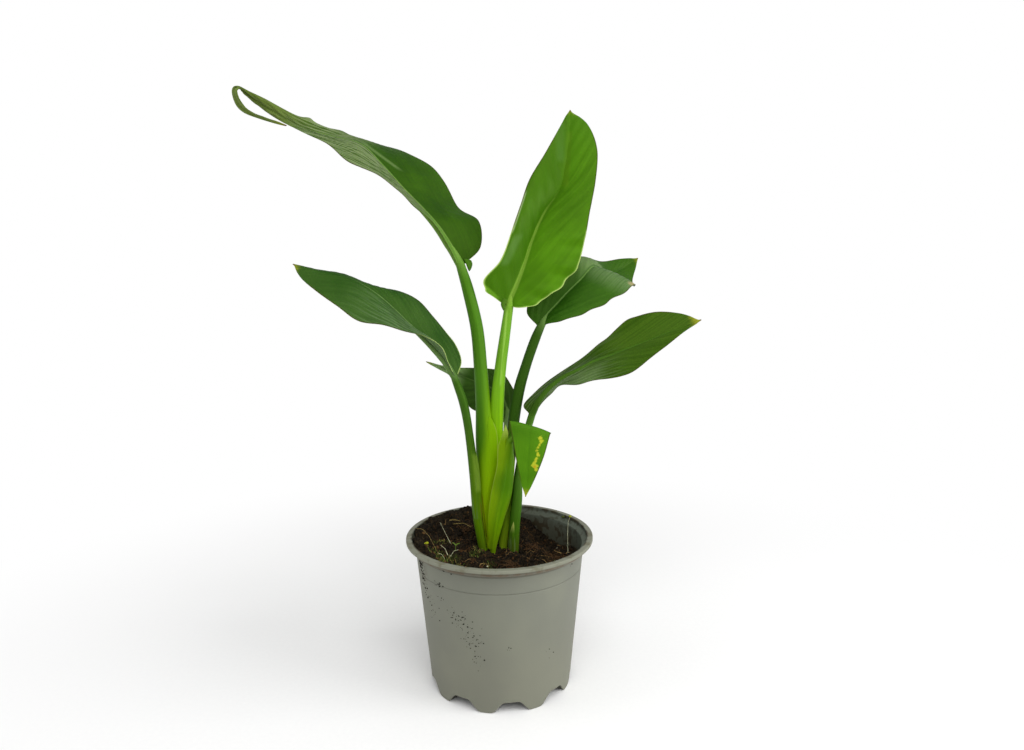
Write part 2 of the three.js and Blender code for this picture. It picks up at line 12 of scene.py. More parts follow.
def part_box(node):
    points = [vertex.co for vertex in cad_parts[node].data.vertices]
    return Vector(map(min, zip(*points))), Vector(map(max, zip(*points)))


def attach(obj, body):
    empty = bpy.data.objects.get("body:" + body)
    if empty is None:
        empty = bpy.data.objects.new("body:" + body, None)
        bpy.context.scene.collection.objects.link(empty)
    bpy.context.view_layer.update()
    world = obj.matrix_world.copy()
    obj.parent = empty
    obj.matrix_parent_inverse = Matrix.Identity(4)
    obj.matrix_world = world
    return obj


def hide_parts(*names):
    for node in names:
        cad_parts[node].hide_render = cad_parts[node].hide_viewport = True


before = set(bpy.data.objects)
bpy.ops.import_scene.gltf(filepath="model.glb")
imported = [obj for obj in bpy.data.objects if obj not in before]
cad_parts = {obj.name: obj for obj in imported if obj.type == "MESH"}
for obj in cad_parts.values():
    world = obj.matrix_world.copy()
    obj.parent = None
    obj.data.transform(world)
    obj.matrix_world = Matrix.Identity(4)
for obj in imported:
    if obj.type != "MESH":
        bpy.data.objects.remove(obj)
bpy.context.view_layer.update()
MM = 0.001

# Camera
# It stands in front of the plant, level with the leaves and tipped a little down, as in the
# photograph, whose frame is 1024 by 750 pixels.
PHOTO_WIDTH_PIXELS = 1024
FOCAL_LENGTH_PIXELS = 770
SENSOR_WIDTH = 36.0
CAMERA_PLACE = (-6 * MM, -476 * MM, 277 * MM)
CAMERA_PITCH = math.radians(9)
CAMERA_YAW = math.radians(-1.8)
CAMERA_ROLL = math.radians(0.5)

lens = bpy.data.cameras.new("camera")
lens.sensor_width = SENSOR_WIDTH
lens.lens = SENSOR_WIDTH * FOCAL_LENGTH_PIXELS / PHOTO_WIDTH_PIXELS
lens.clip_start = 0.01
camera = bpy.data.objects.new("camera", lens)
camera.matrix_world = (
    Matrix.Translation(CAMERA_PLACE)
    @ Matrix.Rotation(CAMERA_YAW, 4, "Z")
    @ Matrix.Rotation(math.pi / 2 - CAMERA_PITCH, 4, "X")
    @ Matrix.Rotation(-CAMERA_ROLL, 4, "Z")
)
bpy.context.scene.collection.objects.link(camera)
bpy.context.scene.camera = camera

# Pot
# A thin grey nursery pot, moulded in one piece of polypropylene: a flanged rim with a step under
# it, a shallow groove round the wall, and a skirt below the floor that is cut into nine feet.
_, pot_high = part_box("pot")
POT_HEIGHT = pot_high.z / MM
RIM_RADIUS = pot_high.x / MM
WALL_TOP_RADIUS = 54.6
WALL_BASE_RADIUS = 45.4
WALL = 1.2
LIP_HEIGHT = 2.4
STEP_HEIGHT = 3
STEP_RADIUS = 57.4
LIP_LEVEL = POT_HEIGHT - LIP_HEIGHT
STEP_LEVEL = LIP_LEVEL - STEP_HEIGHT
GROOVE_DROP = 18
GROOVE_LEVEL = POT_HEIGHT - GROOVE_DROP
GROOVE_DEPTH = 0.4
GROOVE_HALF_HEIGHT = 0.7
FLOOR_HEIGHT = 7.5
FOOT_COUNT = 9
FIRST_FOOT_DEGREES = -103
FOOT_FLAT_DEGREES = 4
FOOT_SLOPE_DEGREES = 11
FOOT_DEPTH = 7
NOTCH_LIP = 0.3
PAD_RADIUS = 18
PAD_TAPER = 0.8
DRAIN_RADIUS = 4
DRAIN_RING_RADIUS = 28
DRAIN_COUNT = 6
DRAIN_SIDES = 36
POT_SIDES = 288
ARC_POINTS = 5
HOLD = 0.4


class Wire:
    """One output of a node. Sums on it add Math nodes, and node() adds any other node."""

    def __init__(self, tree, socket=None):
        """A wire without a socket is the bench of a tree: nodes are added from it."""
        self.tree = tree
        self.socket = socket

    def node(self, kind, settings=None, inputs=None, output=None):
        """The wire out of a new node, after its settings and then its inputs are set or linked."""
        made = self.tree.nodes.new(f"ShaderNode{kind}")
        for name, value in (settings or {}).items():
            setattr(made, name, value)
        for name, value in (inputs or {}).items():
            socket = next(each for each in made.inputs if each.identifier == name)
            if isinstance(value, Wire):
                self.tree.links.new(value.socket, socket)
            else:
                socket.default_value = value
        found = [each for each in made.outputs if output in (None, each.identifier)]
        return Wire(self.tree, found[0] if found else None)

    def maths(self, operation, first, second=0.0):
        return self.node("Math", {"operation": operation}, {"Value": first, "Value_001": second})

    def __add__(self, other):
        return self.maths("ADD", self, other)

    def __radd__(self, other):
        return self.maths("ADD", other, self)

    def __sub__(self, other):
        return self.maths("SUBTRACT", self, other)

    def __rsub__(self, other):
        return self.maths("SUBTRACT", other, self)

    def __mul__(self, other):
        return self.maths("MULTIPLY", self, other)

    def __rmul__(self, other):
        return self.maths("MULTIPLY", other, self)

    def __truediv__(self, other):
        return self.maths("DIVIDE", self, other)

    def __pow__(self, other):
        return self.maths("POWER", self, other)

    def __abs__(self):
        return self.maths("ABSOLUTE", self)

    def rise(self, start, end):
        """0 up to start, 1 from end on, and smooth between them; end may be below start."""
        limits = {"Value": self, "From Min": start, "From Max": end}
        return self.node("MapRange", {"interpolation_type": "SMOOTHSTEP"}, limits)

    def mix(self, low, high):
        """The colour low where this wire is 0 and the colour high where it is 1."""
        colours = {"Factor_Float": self, "A_Color": low, "B_Color": high}
        return self.node("Mix", {"data_type": "RGBA"}, colours, "Result_Color")

    def grain(self, scale=1.0, detail=2.0):
        """Cloudy noise round 0.5 over these coordinates, with patches about 1 / scale wide."""
        inputs = {"Vector": self, "Scale": scale, "Detail": detail}
        return self.node("TexNoise", inputs=inputs, output="Fac")

    def stretch(self, x, y, z):
        """These coordinates times x, y and z."""
        settings = {"operation": "MULTIPLY"}
        return self.node("VectorMath", settings, {"Vector": self, "Vector_001": (x, y, z)}, "Vector")

    def axis(self, name):
        """The X, Y or Z of these coordinates."""
        return self.node("SeparateXYZ", inputs={"Vector": self}, output=name)

    def distance(self, point):
        """How far these coordinates are from the point."""
        settings = {"operation": "DISTANCE"}
        return self.node("VectorMath", settings, {"Vector": self, "Vector_001": point}, "Value")

    def gather(self, x, y, z):
        """Coordinates from three wires."""
        return self.node("CombineXYZ", inputs={"X": x, "Y": y, "Z": z})

    def mark(self, name):
        """The number that the mesh carries under this name on each of its points."""
        return self.node("Attribute", {"attribute_name": name}, output="Fac")


def display(red, green, blue):
    """A colour given as it looks on a screen, from 0 to 255, as the linear values of a material."""
    shares = [part / 255 for part in (red, green, blue)]
    return [part / 12.92 if part < 0.04045 else ((part + 0.055) / 1.055) ** 2.4 for part in shares] + [1]


def painted(base, *coats):
    """The base colour under coats, each a mask and then a wire or a colour as it looks on a screen."""
    for mask, *colour in coats:
        base = mask.mix(base, colour[0] if len(colour) == 1 else display(*colour))
    return base


def start_finish(name):
    """A new material, with a wire to build it on and a wire that holds the place in millimetres."""
    material = bpy.data.materials.new(name)
    material.use_nodes = True
    material.node_tree.nodes.clear()
    bench = Wire(material.node_tree)
    place = bench.node("TexCoord", output="Object").stretch(1 / MM, 1 / MM, 1 / MM)
    return material, bench, place


def end_finish(bench, colour, roughness, height, depth, **fixed):
    """Puts the wires on a shader: height times depth, in metres, is the bump."""
    bump = bench.node("Bump", inputs={"Height": height, "Distance": depth, "Strength": 1.0})
    sockets = {"Base Color": colour, "Roughness": roughness, "Normal": bump}
    sockets.update({name.replace("_", " "): value for name, value in fixed.items()})
    shader = bench.node("BsdfPrincipled", inputs=sockets, output="BSDF")
    bench.node("OutputMaterial", inputs={"Surface": shader})


def make_piece(name, material, points, faces, marks=None, sharp_degrees=40):
    """A piece from points in millimetres and faces, with a number on each point for every mark."""
    mesh = bpy.data.meshes.new(name)
    mesh.from_pydata((np.asarray(points) * MM).tolist(), [], faces)
    for mark, values in (marks or {}).items():
        layer = mesh.attributes.new(mark, "FLOAT", "POINT")
        layer.data.foreach_set("value", np.asarray(values, np.float32))
    mesh.shade_smooth()
    mesh.set_sharp_from_angle(angle=math.radians(sharp_degrees))
    mesh.materials.append(material)
    piece = bpy.data.objects.new(name, mesh)
    bpy.context.scene.collection.objects.link(piece)
    return piece


def joined(parts):
    """One set of points, faces and marks from several."""
    points, faces, marks = [], [], {}
    for part_points, part_faces, part_marks in parts:
        faces += [[index + len(points) for index in face] for face in part_faces]
        points += list(part_points)
        for mark, values in part_marks.items():
            marks.setdefault(mark, []).extend(values)
    return points, faces, marks


def wall_radius(height):
    """The outer radius of the pot's wall at a height."""
    return WALL_BASE_RADIUS + (WALL_TOP_RADIUS - WALL_BASE_RADIUS) * height / POT_HEIGHT


def smooth_step(value, start, end):
    """0 up to start, 1 from end on, and smooth between them; end may be below start."""
    share = np.clip((value - start) / (end - start), 0, 1)
    return share * share * (3 - 2 * share)


def foot_bottom(degrees):
    """The height of the skirt's bottom edge: flat on the feet, with soft slopes to the notches."""
    spacing = 360 / FOOT_COUNT
    turn = (degrees - FIRST_FOOT_DEGREES) % spacing
    from_foot = min(turn, spacing - turn)
    slope_end = FOOT_FLAT_DEGREES + FOOT_SLOPE_DEGREES
    return smooth_step(from_foot, FOOT_FLAT_DEGREES, slope_end) * (FLOOR_HEIGHT - NOTCH_LIP)


def rounded(corners):
    """A profile through corners of radius, height and rounding, with a hold beside each bend."""
    places = np.array([corner[:2] for corner in corners], float)
    profile = [places[0]]
    for index in range(1, len(corners) - 1):
        corner = places[index]
        ends = []
        for neighbour in (places[index - 1], places[index + 1]):
            run = np.hypot(*(neighbour - corner))
            reach = min(corners[index][2], 0.4 * run)
            ends.append(corner + (neighbour - corner) * reach / run)
            ends.append(corner + (neighbour - corner) * (reach + min(HOLD, 0.1 * run)) / run)
        start, hold_before, end, hold_after = ends
        profile.append(hold_before)
        for turn in np.linspace(0, 1, ARC_POINTS):
            profile.append((1 - turn) ** 2 * start + 2 * turn * (1 - turn) * corner + turn**2 * end)
        profile.append(hold_after)
    profile.append(places[-1])
    return profile


def pot_profile(degrees):
    """The pot's section from the middle of its underside, over the rim, to the middle inside."""
    bottom = foot_bottom(degrees)
    floor_top = FLOOR_HEIGHT + WALL
    pocket = min(bottom + WALL, floor_top - NOTCH_LIP)
    foot_inner = WALL_BASE_RADIUS - FOOT_DEPTH
    groove_low, groove_high = GROOVE_LEVEL - GROOVE_HALF_HEIGHT, GROOVE_LEVEL + GROOVE_HALF_HEIGHT
    return rounded([
        (0, 0, 0),
        (PAD_RADIUS, 0, 0.5),
        (PAD_RADIUS + PAD_TAPER, FLOOR_HEIGHT, 0.7),
        (foot_inner, FLOOR_HEIGHT, 0.6),
        (foot_inner, bottom, 0.5),
        (wall_radius(bottom), bottom, 0.7),
        (wall_radius(groove_low), groove_low, 0.25),
        (wall_radius(GROOVE_LEVEL) - GROOVE_DEPTH, GROOVE_LEVEL, 0.25),
        (wall_radius(groove_high), groove_high, 0.25),
        (wall_radius(STEP_LEVEL), STEP_LEVEL, 0.8),
        (STEP_RADIUS, STEP_LEVEL + 0.5, 0.5),
        (STEP_RADIUS, LIP_LEVEL, 0.3),
        (RIM_RADIUS, LIP_LEVEL, 0.6),
        (RIM_RADIUS, POT_HEIGHT, 0.7),
        (STEP_RADIUS - WALL, POT_HEIGHT, 0.5),
        (STEP_RADIUS - WALL, LIP_LEVEL, 0.6),
        (wall_radius(STEP_LEVEL + WALL) - WALL, STEP_LEVEL + WALL, 0.5),
        (wall_radius(pocket) - WALL, pocket, 0.7),
        (foot_inner + WALL, pocket, 0.4),
        (foot_inner + WALL, floor_top, 0.5),
        (PAD_RADIUS - WALL + PAD_TAPER, floor_top, 0.7),
        (PAD_RADIUS - WALL, WALL, 0.5),
        (0, WALL, 0),
    ])


def turned(profile_at, sides):
    """Points and faces of a closed turned shape whose profile may change with the angle."""
    profiles = np.array([profile_at(360 * side / sides) for side in range(sides)])
    turns = np.arange(sides) * 2 * math.pi / sides
    rings = [(0, 0, profiles[0, 0, 1])]
    for radius, height in np.moveaxis(profiles[:, 1:-1], 0, 2):
        rings += list(zip(radius * np.cos(turns), radius * np.sin(turns), height))
    rings.append((0, 0, profiles[0, -1, 1]))
    last = len(rings) - 1
    faces = []
    for side in range(sides):
        after = (side + 1) % sides
        faces.append((0, 1 + after, 1 + side))
        for ring in range(1, last - sides, sides):
            faces.append((ring + side, ring + after, ring + sides + after, ring + sides + side))
        faces.append((last, last - sides + side, last - sides + after))
    return rings, faces


def pot_finish():
    """Grey matt plastic with painted shade inside, in the groove and under the lip and step; dirt on the rim
    and in the step under the lip.
    """
    material, bench, place = start_finish("grey_pot_plastic")
    x, y, z = (place.axis(name) for name in "XYZ")
    radius = (x**2 + y**2) ** 0.5
    clouds = place.grain(0.03, 2)
    fine = place.grain(1.1, 3)
    dirty = place.grain(0.2, 4)
    above_lip, above_step = z - LIP_LEVEL, z - STEP_LEVEL
    inner_radius = z * 0.094 + 45.0 + z.rise(STEP_LEVEL + 0.5, LIP_LEVEL - 0.8) * 2.9
    inside = (inner_radius - radius).rise(0.2, 0.7)
    near_peat = (z - x * -0.1 - y * 0.09 + dirty * 14).rise(104, 92)
    under_lip = above_step.rise(0, 0.5) * above_lip.rise(0.2, -0.1) * (1 - inside)
    # Painted shadow: thin dark lines at the lower edge of the lip and on the wall just below the step.
    shadow_lines = abs(above_lip - 0.1).rise(0.5, 0.2) + abs(above_step + 1.4).rise(0.7, 0.3) * 0.6
    on_rim = above_lip.rise(0, 0.3) * (1 - inside)
    mouth = above_lip.rise(0, 2) * radius.rise(57.6, 56.6) * dirty.rise(0.4, 0.58)
    smear = place.distance((-48.5, -22.6, 84)).rise(11, 3) * dirty.rise(0.42, 0.56)
    grey = painted(
        display(109, 111, 100),
        (clouds.rise(0.3, 0.7), 115, 117, 104),
        (z.rise(80, 10) * 0.3, 112, 110, 94),
        # Painted shade: a dark line along the groove.
        (abs(z - GROOVE_LEVEL).rise(0.5, 0.15) * 0.3, 66, 66, 56),
        # Painted shade: the inside of the pot is darker than the same plastic outside.
        (inside * 0.85, 74, 82, 70),
        (inside * (near_peat * 0.6 + dirty.rise(0.5, 0.6) * 0.6), 46, 40, 24),
        # The band on the step under the lip: brownish dirt, with painted shade under the overhanging lip.
        (under_lip * (0.3 + 0.4 * dirty.rise(0.4, 0.6)), 98, 80, 60),
        (shadow_lines * 0.7 * (1 - inside), 66, 58, 44),
        (on_rim * 0.7, 122, 123, 107),
        (on_rim * dirty.rise(0.48, 0.66) * 0.5, 84, 78, 50),
        (mouth * 0.8, 50, 42, 22),
        (smear * 0.4, 78, 72, 54),
    )
    roughness = 0.5 + clouds * 0.1 + fine * 0.08
    end_finish(bench, grey, roughness, fine, 0.03 * MM, Specular_IOR_Level=0.25)
    return material


pot = make_piece("moulded_pot", pot_finish(), *turned(pot_profile, POT_SIDES), sharp_degrees=50)
drill_bottom, drill_top = FLOOR_HEIGHT - 1, FLOOR_HEIGHT + WALL + 1
drill_profile = [(0, drill_bottom), (DRAIN_RADIUS, drill_bottom), (DRAIN_RADIUS, drill_top), (0, drill_top)]
bit_points, bit_faces = turned(lambda degrees: drill_profile, DRAIN_SIDES)
bits = []
for hole in range(DRAIN_COUNT):
    around = 2 * math.pi * hole / DRAIN_COUNT
    shift = np.array((DRAIN_RING_RADIUS * math.cos(around), DRAIN_RING_RADIUS * math.sin(around), 0))
    bits.append((np.array(bit_points) + shift, bit_faces, {}))
drill = make_piece("drill", pot.data.materials[0], *joined(bits))
cut = pot.modifiers.new("drain_holes", "BOOLEAN")
cut.operation = "DIFFERENCE"
cut.object = drill
bpy.context.view_layer.update()
pot.data = bpy.data.meshes.new_from_object(pot.evaluated_get(bpy.context.evaluated_depsgraph_get()))
pot.modifiers.clear()
bpy.data.objects.remove(drill)
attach(pot, "root")
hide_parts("pot")

# Compost
# A plug of dark brown peat that fills the pot, loose and lumpy on top: higher at the back left,
# with a hollow at the back right where the pot's inner wall shows.
COMPOST_LEVEL = 88
COMPOST_TILT_X = -0.1
COMPOST_TILT_Y = 0.09
CLOD_HEIGHT = 0.9
CLOD_WAVES = [(1, 0.31, 0.27, 1.2), (0.6, 0.53, -0.41, 2.1), (0.4, 0.83, 0.71, 1.6)]
HOLLOW_PLACE = (37, 30)
HOLLOW_RADIUS = 19
HOLLOW_DEPTH = 10
LUMPS = [(0.15, 1.5), (0.42, 1.3), (0.9, 0.7), (1.8, 0.35)]
MOSSY_SPOTS = [((-33, -20, 90), 12), ((-15, -10, 88), 7), ((-24, -30, 88), 9)]
SHELF_REACH = 2.6
COMPOST_RINGS = 112
COMPOST_SIDES = 384
SEAT_GAP = 0.3
BANK_DEGREES = 160
BANK_HEIGHT = 3.2


def compost_height(x, y):
    """The height of the compost's surface: tilted, with clods, a hollow, a bank and fine lumps."""
    clods = sum(
        share * math.sin(along_x * x + along_y * y + phase)
        for share, along_x, along_y, phase in CLOD_WAVES
    )
    reach = math.hypot(x - HOLLOW_PLACE[0], y - HOLLOW_PLACE[1]) / HOLLOW_RADIUS
    hollow = HOLLOW_DEPTH * math.exp(-reach * reach)
    level = COMPOST_LEVEL + COMPOST_TILT_X * x + COMPOST_TILT_Y * y + CLOD_HEIGHT * clods - hollow
    facing = math.cos(math.atan2(y, x) - math.radians(BANK_DEGREES))
    level += BANK_HEIGHT * smooth_step(math.hypot(x, y), 40, 53) * smooth_step(facing, 0.1, 0.8)
    return level + sum(size * noise.noise((x * scale, y * scale, 7 * size)) for scale, size in LUMPS)


def compost_finish():
    """Peat: near black where it is damp, brown on the crumbs, with reddish fibres matted in it."""
    material, bench, place = start_finish("dark_peat")
    crumbs = place.grain(0.9, 6)
    patches = place.grain(0.11, 2)
    strands = place.stretch(1.6, 0.35, 1.0).grain(1, 5)
    mossy = [
        (place.distance(spot).rise(reach, 0.2 * reach) * crumbs.rise(0.42, 0.6) * 0.7, 50, 56, 18)
        for spot, reach in MOSSY_SPOTS
    ]
    brown = painted(
        display(9, 6, 2),
        (crumbs.rise(0.4, 0.68), 44, 35, 20),
        (patches.rise(0.5, 0.75) * strands.rise(0.52, 0.66) * 0.8, 68, 48, 26),
        (crumbs.rise(0.66, 0.76) * 0.35, 112, 90, 56),
        *mossy,
    )
    end_finish(bench, brown, 0.8 + crumbs * 0.2, crumbs + strands * 0.5, 1.2 * MM, Specular_IOR_Level=0.12)
    return material


turns = np.arange(COMPOST_SIDES) * 2 * math.pi / COMPOST_SIDES
clearance = WALL + SEAT_GAP
nominal = wall_radius(COMPOST_LEVEL) - clearance
rim_heights = [compost_height(nominal * math.cos(turn), nominal * math.sin(turn)) for turn in turns]
shelf = STEP_LEVEL + WALL
rim_radii = [
    wall_radius(height) - clearance + SHELF_REACH * smooth_step(height, shelf, shelf + 1)
    for height in rim_heights
]


def compost_profile(degrees):
    """From the middle of the plug's top, down its side, to the middle of its underside."""
    side = round(degrees * COMPOST_SIDES / 360)
    across, back = math.cos(turns[side]), math.sin(turns[side])
    underside = FLOOR_HEIGHT + WALL + SEAT_GAP
    profile = [(0, compost_height(0, 0))]
    for ring in range(1, COMPOST_RINGS):
        radius = rim_radii[side] * ring / COMPOST_RINGS
        profile.append((radius, compost_height(radius * across, radius * back)))
    profile.append((rim_radii[side], rim_heights[side]))
    neck = min(rim_heights[side] - 0.3, shelf - 0.3)
    profile += [(wall_radius(height) - clearance, height) for height in (neck, underside)]
    profile.append((0, underside))
    return profile


compost_points, compost_faces = turned(compost_profile, COMPOST_SIDES)
compost_faces = [face[::-1] for face in compost_faces]
compost = make_piece("peat_compost", compost_finish(), compost_points, compost_faces, sharp_degrees=70)
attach(compost, "root")
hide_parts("compost")

# Crumbs and fibres
# Loose crumbs of peat, and fibres of moss and bark from 3 to 14 mm long, lie on the compost and
# against the pot. They are the coarse part of the same mix.
CRUMB_COUNT = 900
FIBRE_COUNT = 260
FIBRE_STEPS = 9
FULL_TURN = 6.3
scatter = random.Random(5)


def tube_faces(rings, sides):
    """The faces of a closed tube of rings of points, with a flat cap at each end."""
    faces = []
    for ring in range(rings - 1):
        for side in range(sides):
            start, after = ring * sides + side, ring * sides + (side + 1) % sides
            faces.append((start, after, after + sides, start + sides))
    return faces + [tuple(range(sides))[::-1], tuple(range((rings - 1) * sides, rings * sides))]


def tube(middles, radii, sides=4):
    """A closed round tube through the middles, as points and faces."""
    middles = np.asarray(middles, float)
    along = np.gradient(middles, axis=0)
    along /= np.linalg.norm(along, axis=1)[:, None]
    broad = np.cross(along[0], (0.3, 0.2, 0.9))
    rings = []
    for middle, radius, heading in zip(middles, radii, along):
        broad = broad - heading * (broad @ heading)
        broad /= np.linalg.norm(broad)
        narrow = np.cross(heading, broad)
        for side in range(sides):
            turn = 2 * math.pi * side / sides
            rings.append(middle + radius * (broad * math.cos(turn) + narrow * math.sin(turn)))
    return rings, tube_faces(len(middles), sides)


def unit_ball(subdivisions):
    """The points and triangles of a ball of radius 1."""
    ball = bmesh.new()
    bmesh.ops.create_icosphere(ball, subdivisions=subdivisions, radius=1)
    points = np.array([vertex.co[:] for vertex in ball.verts])
    faces = [[vertex.index for vertex in face.verts] for face in ball.faces]
    ball.free()
    return points, faces


def lump(middle, size, ball, tone):
    """A ball knocked out of round and turned at random, as a part with one tone."""
    points, faces = ball
    knocked = points * np.array([[scatter.uniform(0.75, 1.2)] for _ in points])
    turn = Matrix.Rotation(scatter.uniform(0, FULL_TURN), 3, "Z")
    turn = turn @ Matrix.Rotation(scatter.uniform(0, FULL_TURN), 3, "X")
    squash = (scatter.uniform(0.8, 1.3), scatter.uniform(0.6, 1), scatter.uniform(0.5, 0.9))
    return knocked * squash * size @ np.array(turn).T + middle, faces, {"tone": [tone] * len(points)}


def place_in_pot():
    """A random place on the compost, clear of the wall."""
    reach = (nominal - 2) * scatter.random() ** 0.5
    turn = scatter.uniform(0, 2 * math.pi)
    return reach * math.cos(turn), reach * math.sin(turn)


def fibre(length, radius, tone):
    """A fibre lying on the compost along a curving line, its ends tucked in."""
    x, y = place_in_pot()
    heading = scatter.uniform(0, 2 * math.pi)
    bend = scatter.uniform(-0.25, 0.25)
    arch = scatter.uniform(0.1, 0.9)
    middles, radii = [], []
    for step in range(FIBRE_STEPS):
        share = step / (FIBRE_STEPS - 1)
        lift = arch * math.sin(math.pi * share) - 0.15
        middles.append((x, y, compost_height(x, y) + radius + lift))
        radii.append(radius * (1 - 0.5 * abs(2 * share - 1)))
        x += math.cos(heading) * length / FIBRE_STEPS
        y += math.sin(heading) * length / FIBRE_STEPS
        heading += bend
    if math.hypot(x, y) > nominal - 1:
        return [], [], {}
    points, faces = tube(middles, radii)
    return points, faces, {"tone": [tone] * len(points)}


def litter_finish():
    """Crumbs and fibres by their tone, from near black through reddish brown to straw."""
    material, bench, place = start_finish("peat_litter")
    tone = bench.mark("tone")
    grain = place.grain(1.3, 4)
    brown = painted(
        display(16, 11, 5),
        (tone.rise(0.1, 0.6), 74, 50, 26),
        (tone.rise(0.6, 1), 158, 128, 80),
        (grain.rise(0.4, 0.7) * 0.6, 28, 20, 10),
    )
    end_finish(bench, brown, 0.8 + grain * 0.2, grain, 0.3 * MM, Specular_IOR_Level=0.12)
    return material


small_ball = unit_ball(2)
parts = []
for _ in range(CRUMB_COUNT):
    x, y = place_in_pot()
    size = scatter.uniform(0.45, 1.0) if scatter.random() < 0.85 else scatter.uniform(1.0, 1.7)
    middle = (x, y, compost_height(x, y) + 0.2 * size)
    parts.append(lump(middle, size, small_ball, scatter.random() ** 2 * 0.7))
for _ in range(FIBRE_COUNT):
    fine = scatter.random()
    parts.append(fibre(scatter.uniform(3, 14), 0.12 + 0.2 * fine**3, 0.25 + 0.75 * scatter.random() ** 1.5))
litter = make_piece("crumbs_and_fibres", litter_finish(), *joined(parts))
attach(litter, "root")

# Dried splashes
# Specks of dried compost, mostly under 1 mm across, stick to the outside of the pot: a run down
# its left side, two clusters in front of it and single ones all round.
SPLASHES = [
    (-157, 88, 1.8, 3, 90), (-154, 79, 2, 5, 60), (-147, 66, 3, 7, 20), (-136, 80, 3.5, 1, 12),
    (-130, 91, 2, 0.5, 3), (-120, 61, 4, 3.2, 52), (-111, 49, 4, 5, 40), (-107, 38, 2.5, 5, 12),
    (-84, 44, 1.5, 0.8, 5), (-63, 92.5, 1, 0.3, 2), (-36, 89, 1.5, 0.8, 5), (-122, 90, 1.5, 0.5, 2),
    (-135, 68, 3, 5, 8), (-53, 36, 5, 3, 5), (60, 60, 20, 15, 20), (140, 70, 14, 14, 20),
]
SPLASH_TOP = 92
SPLASH_TONE = 0.1
splashes = []
for degrees, height, degree_spread, height_spread, count in SPLASHES:
    for _ in range(count):
        turn = math.radians(scatter.gauss(degrees, degree_spread))
        speck_height = min(scatter.gauss(height, height_spread), SPLASH_TOP)
        speck_radius = wall_radius(speck_height) - 0.1
        middle = (speck_radius * math.cos(turn), speck_radius * math.sin(turn), speck_height)
        size = scatter.uniform(0.18, 0.36) + 0.4 * scatter.random() ** 4
        splashes.append(lump(middle, size, small_ball, SPLASH_TONE))
splash_piece = make_piece("dried_splashes", litter.data.materials[0], *joined(splashes))
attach(splash_piece, "root")

# Seedlings, moss and straws
# Weed seedlings have come up on the compost: two with yellow heads against the rim, a pale
# branched one and a green pair, with dry straws and cushions of moss between them.
YELLOW, GREEN, MOSS, STRAW, WHITE, RUST = 0.0, 0.2, 0.4, 0.6, 0.8, 1.0
MOSS_TONES = [MOSS, MOSS, MOSS, GREEN, STRAW]
TUFT_RADIUS = 0.18
THREAD_SIDES = 6
MOSS_CUSHIONS = [
    (-33, -22, 7, 200), (-15, -10, 5, 130), (-26, -30, 5, 120), (-40, -13, 5, 90), (-7, -24, 4, 60),
    (-36, 2, 6, 70), (30, -22, 5, 40),
]
RUSTY_CLUMPS = [(6, -26, 6, 80), (37, -9, 6, 80), (22, 2, 7, 50), (-20, 24, 7, 40)]


def seedling_finish():
    """Each thing by its tone: yellow, green, moss green, straw, near white or rusty brown."""
    material, bench, place = start_finish("seedlings")
    tone = bench.mark("tone")
    grain = place.grain(1.2, 3)
    colour = painted(
        display(150, 156, 20),
        ((tone - YELLOW).rise(0.05, 0.15), 92, 116, 40),
        ((tone - GREEN).rise(0.05, 0.15), 58, 66, 16),
        ((tone - MOSS).rise(0.05, 0.15), 150, 130, 74),
        ((tone - STRAW).rise(0.05, 0.15), 196, 196, 160),
        ((tone - WHITE).rise(0.05, 0.15), 72, 48, 24),
        (grain.rise(0.4, 0.7) * 0.35, 50, 44, 14),
    )
    end_finish(bench, colour, 0.6 + grain * 0.2, grain, 0.1 * MM, Specular_IOR_Level=0.2)
    return material


def thread(points, radius, tone):
    """A thin round stem through the points, tapering to its end."""
    steps = np.linspace(0, len(points) - 1, 4 * len(points))
    corners = range(len(points))
    middles = np.stack([np.interp(steps, corners, places) for places in zip(*points)], axis=1)
    middles[1:-1] = (middles[:-2] + 2 * middles[1:-1] + middles[2:]) / 4
    points, faces = tube(middles, radius * (1 - 0.5 * np.linspace(0, 1, len(steps))), THREAD_SIDES)
    return points, faces, {"tone": [tone] * len(points)}


def rooted(x, y, *rest):
    """A stem's points from just under the compost at x and y through the rest."""
    return [(x, y, compost_height(x, y) - 1), *rest]


def blob(middle, size, tone, squash):
    """A small round head or bud, flattened by squash."""
    points, faces = small_ball
    return points * (size, size, size * squash) + middle, faces, {"tone": [tone] * len(points)}


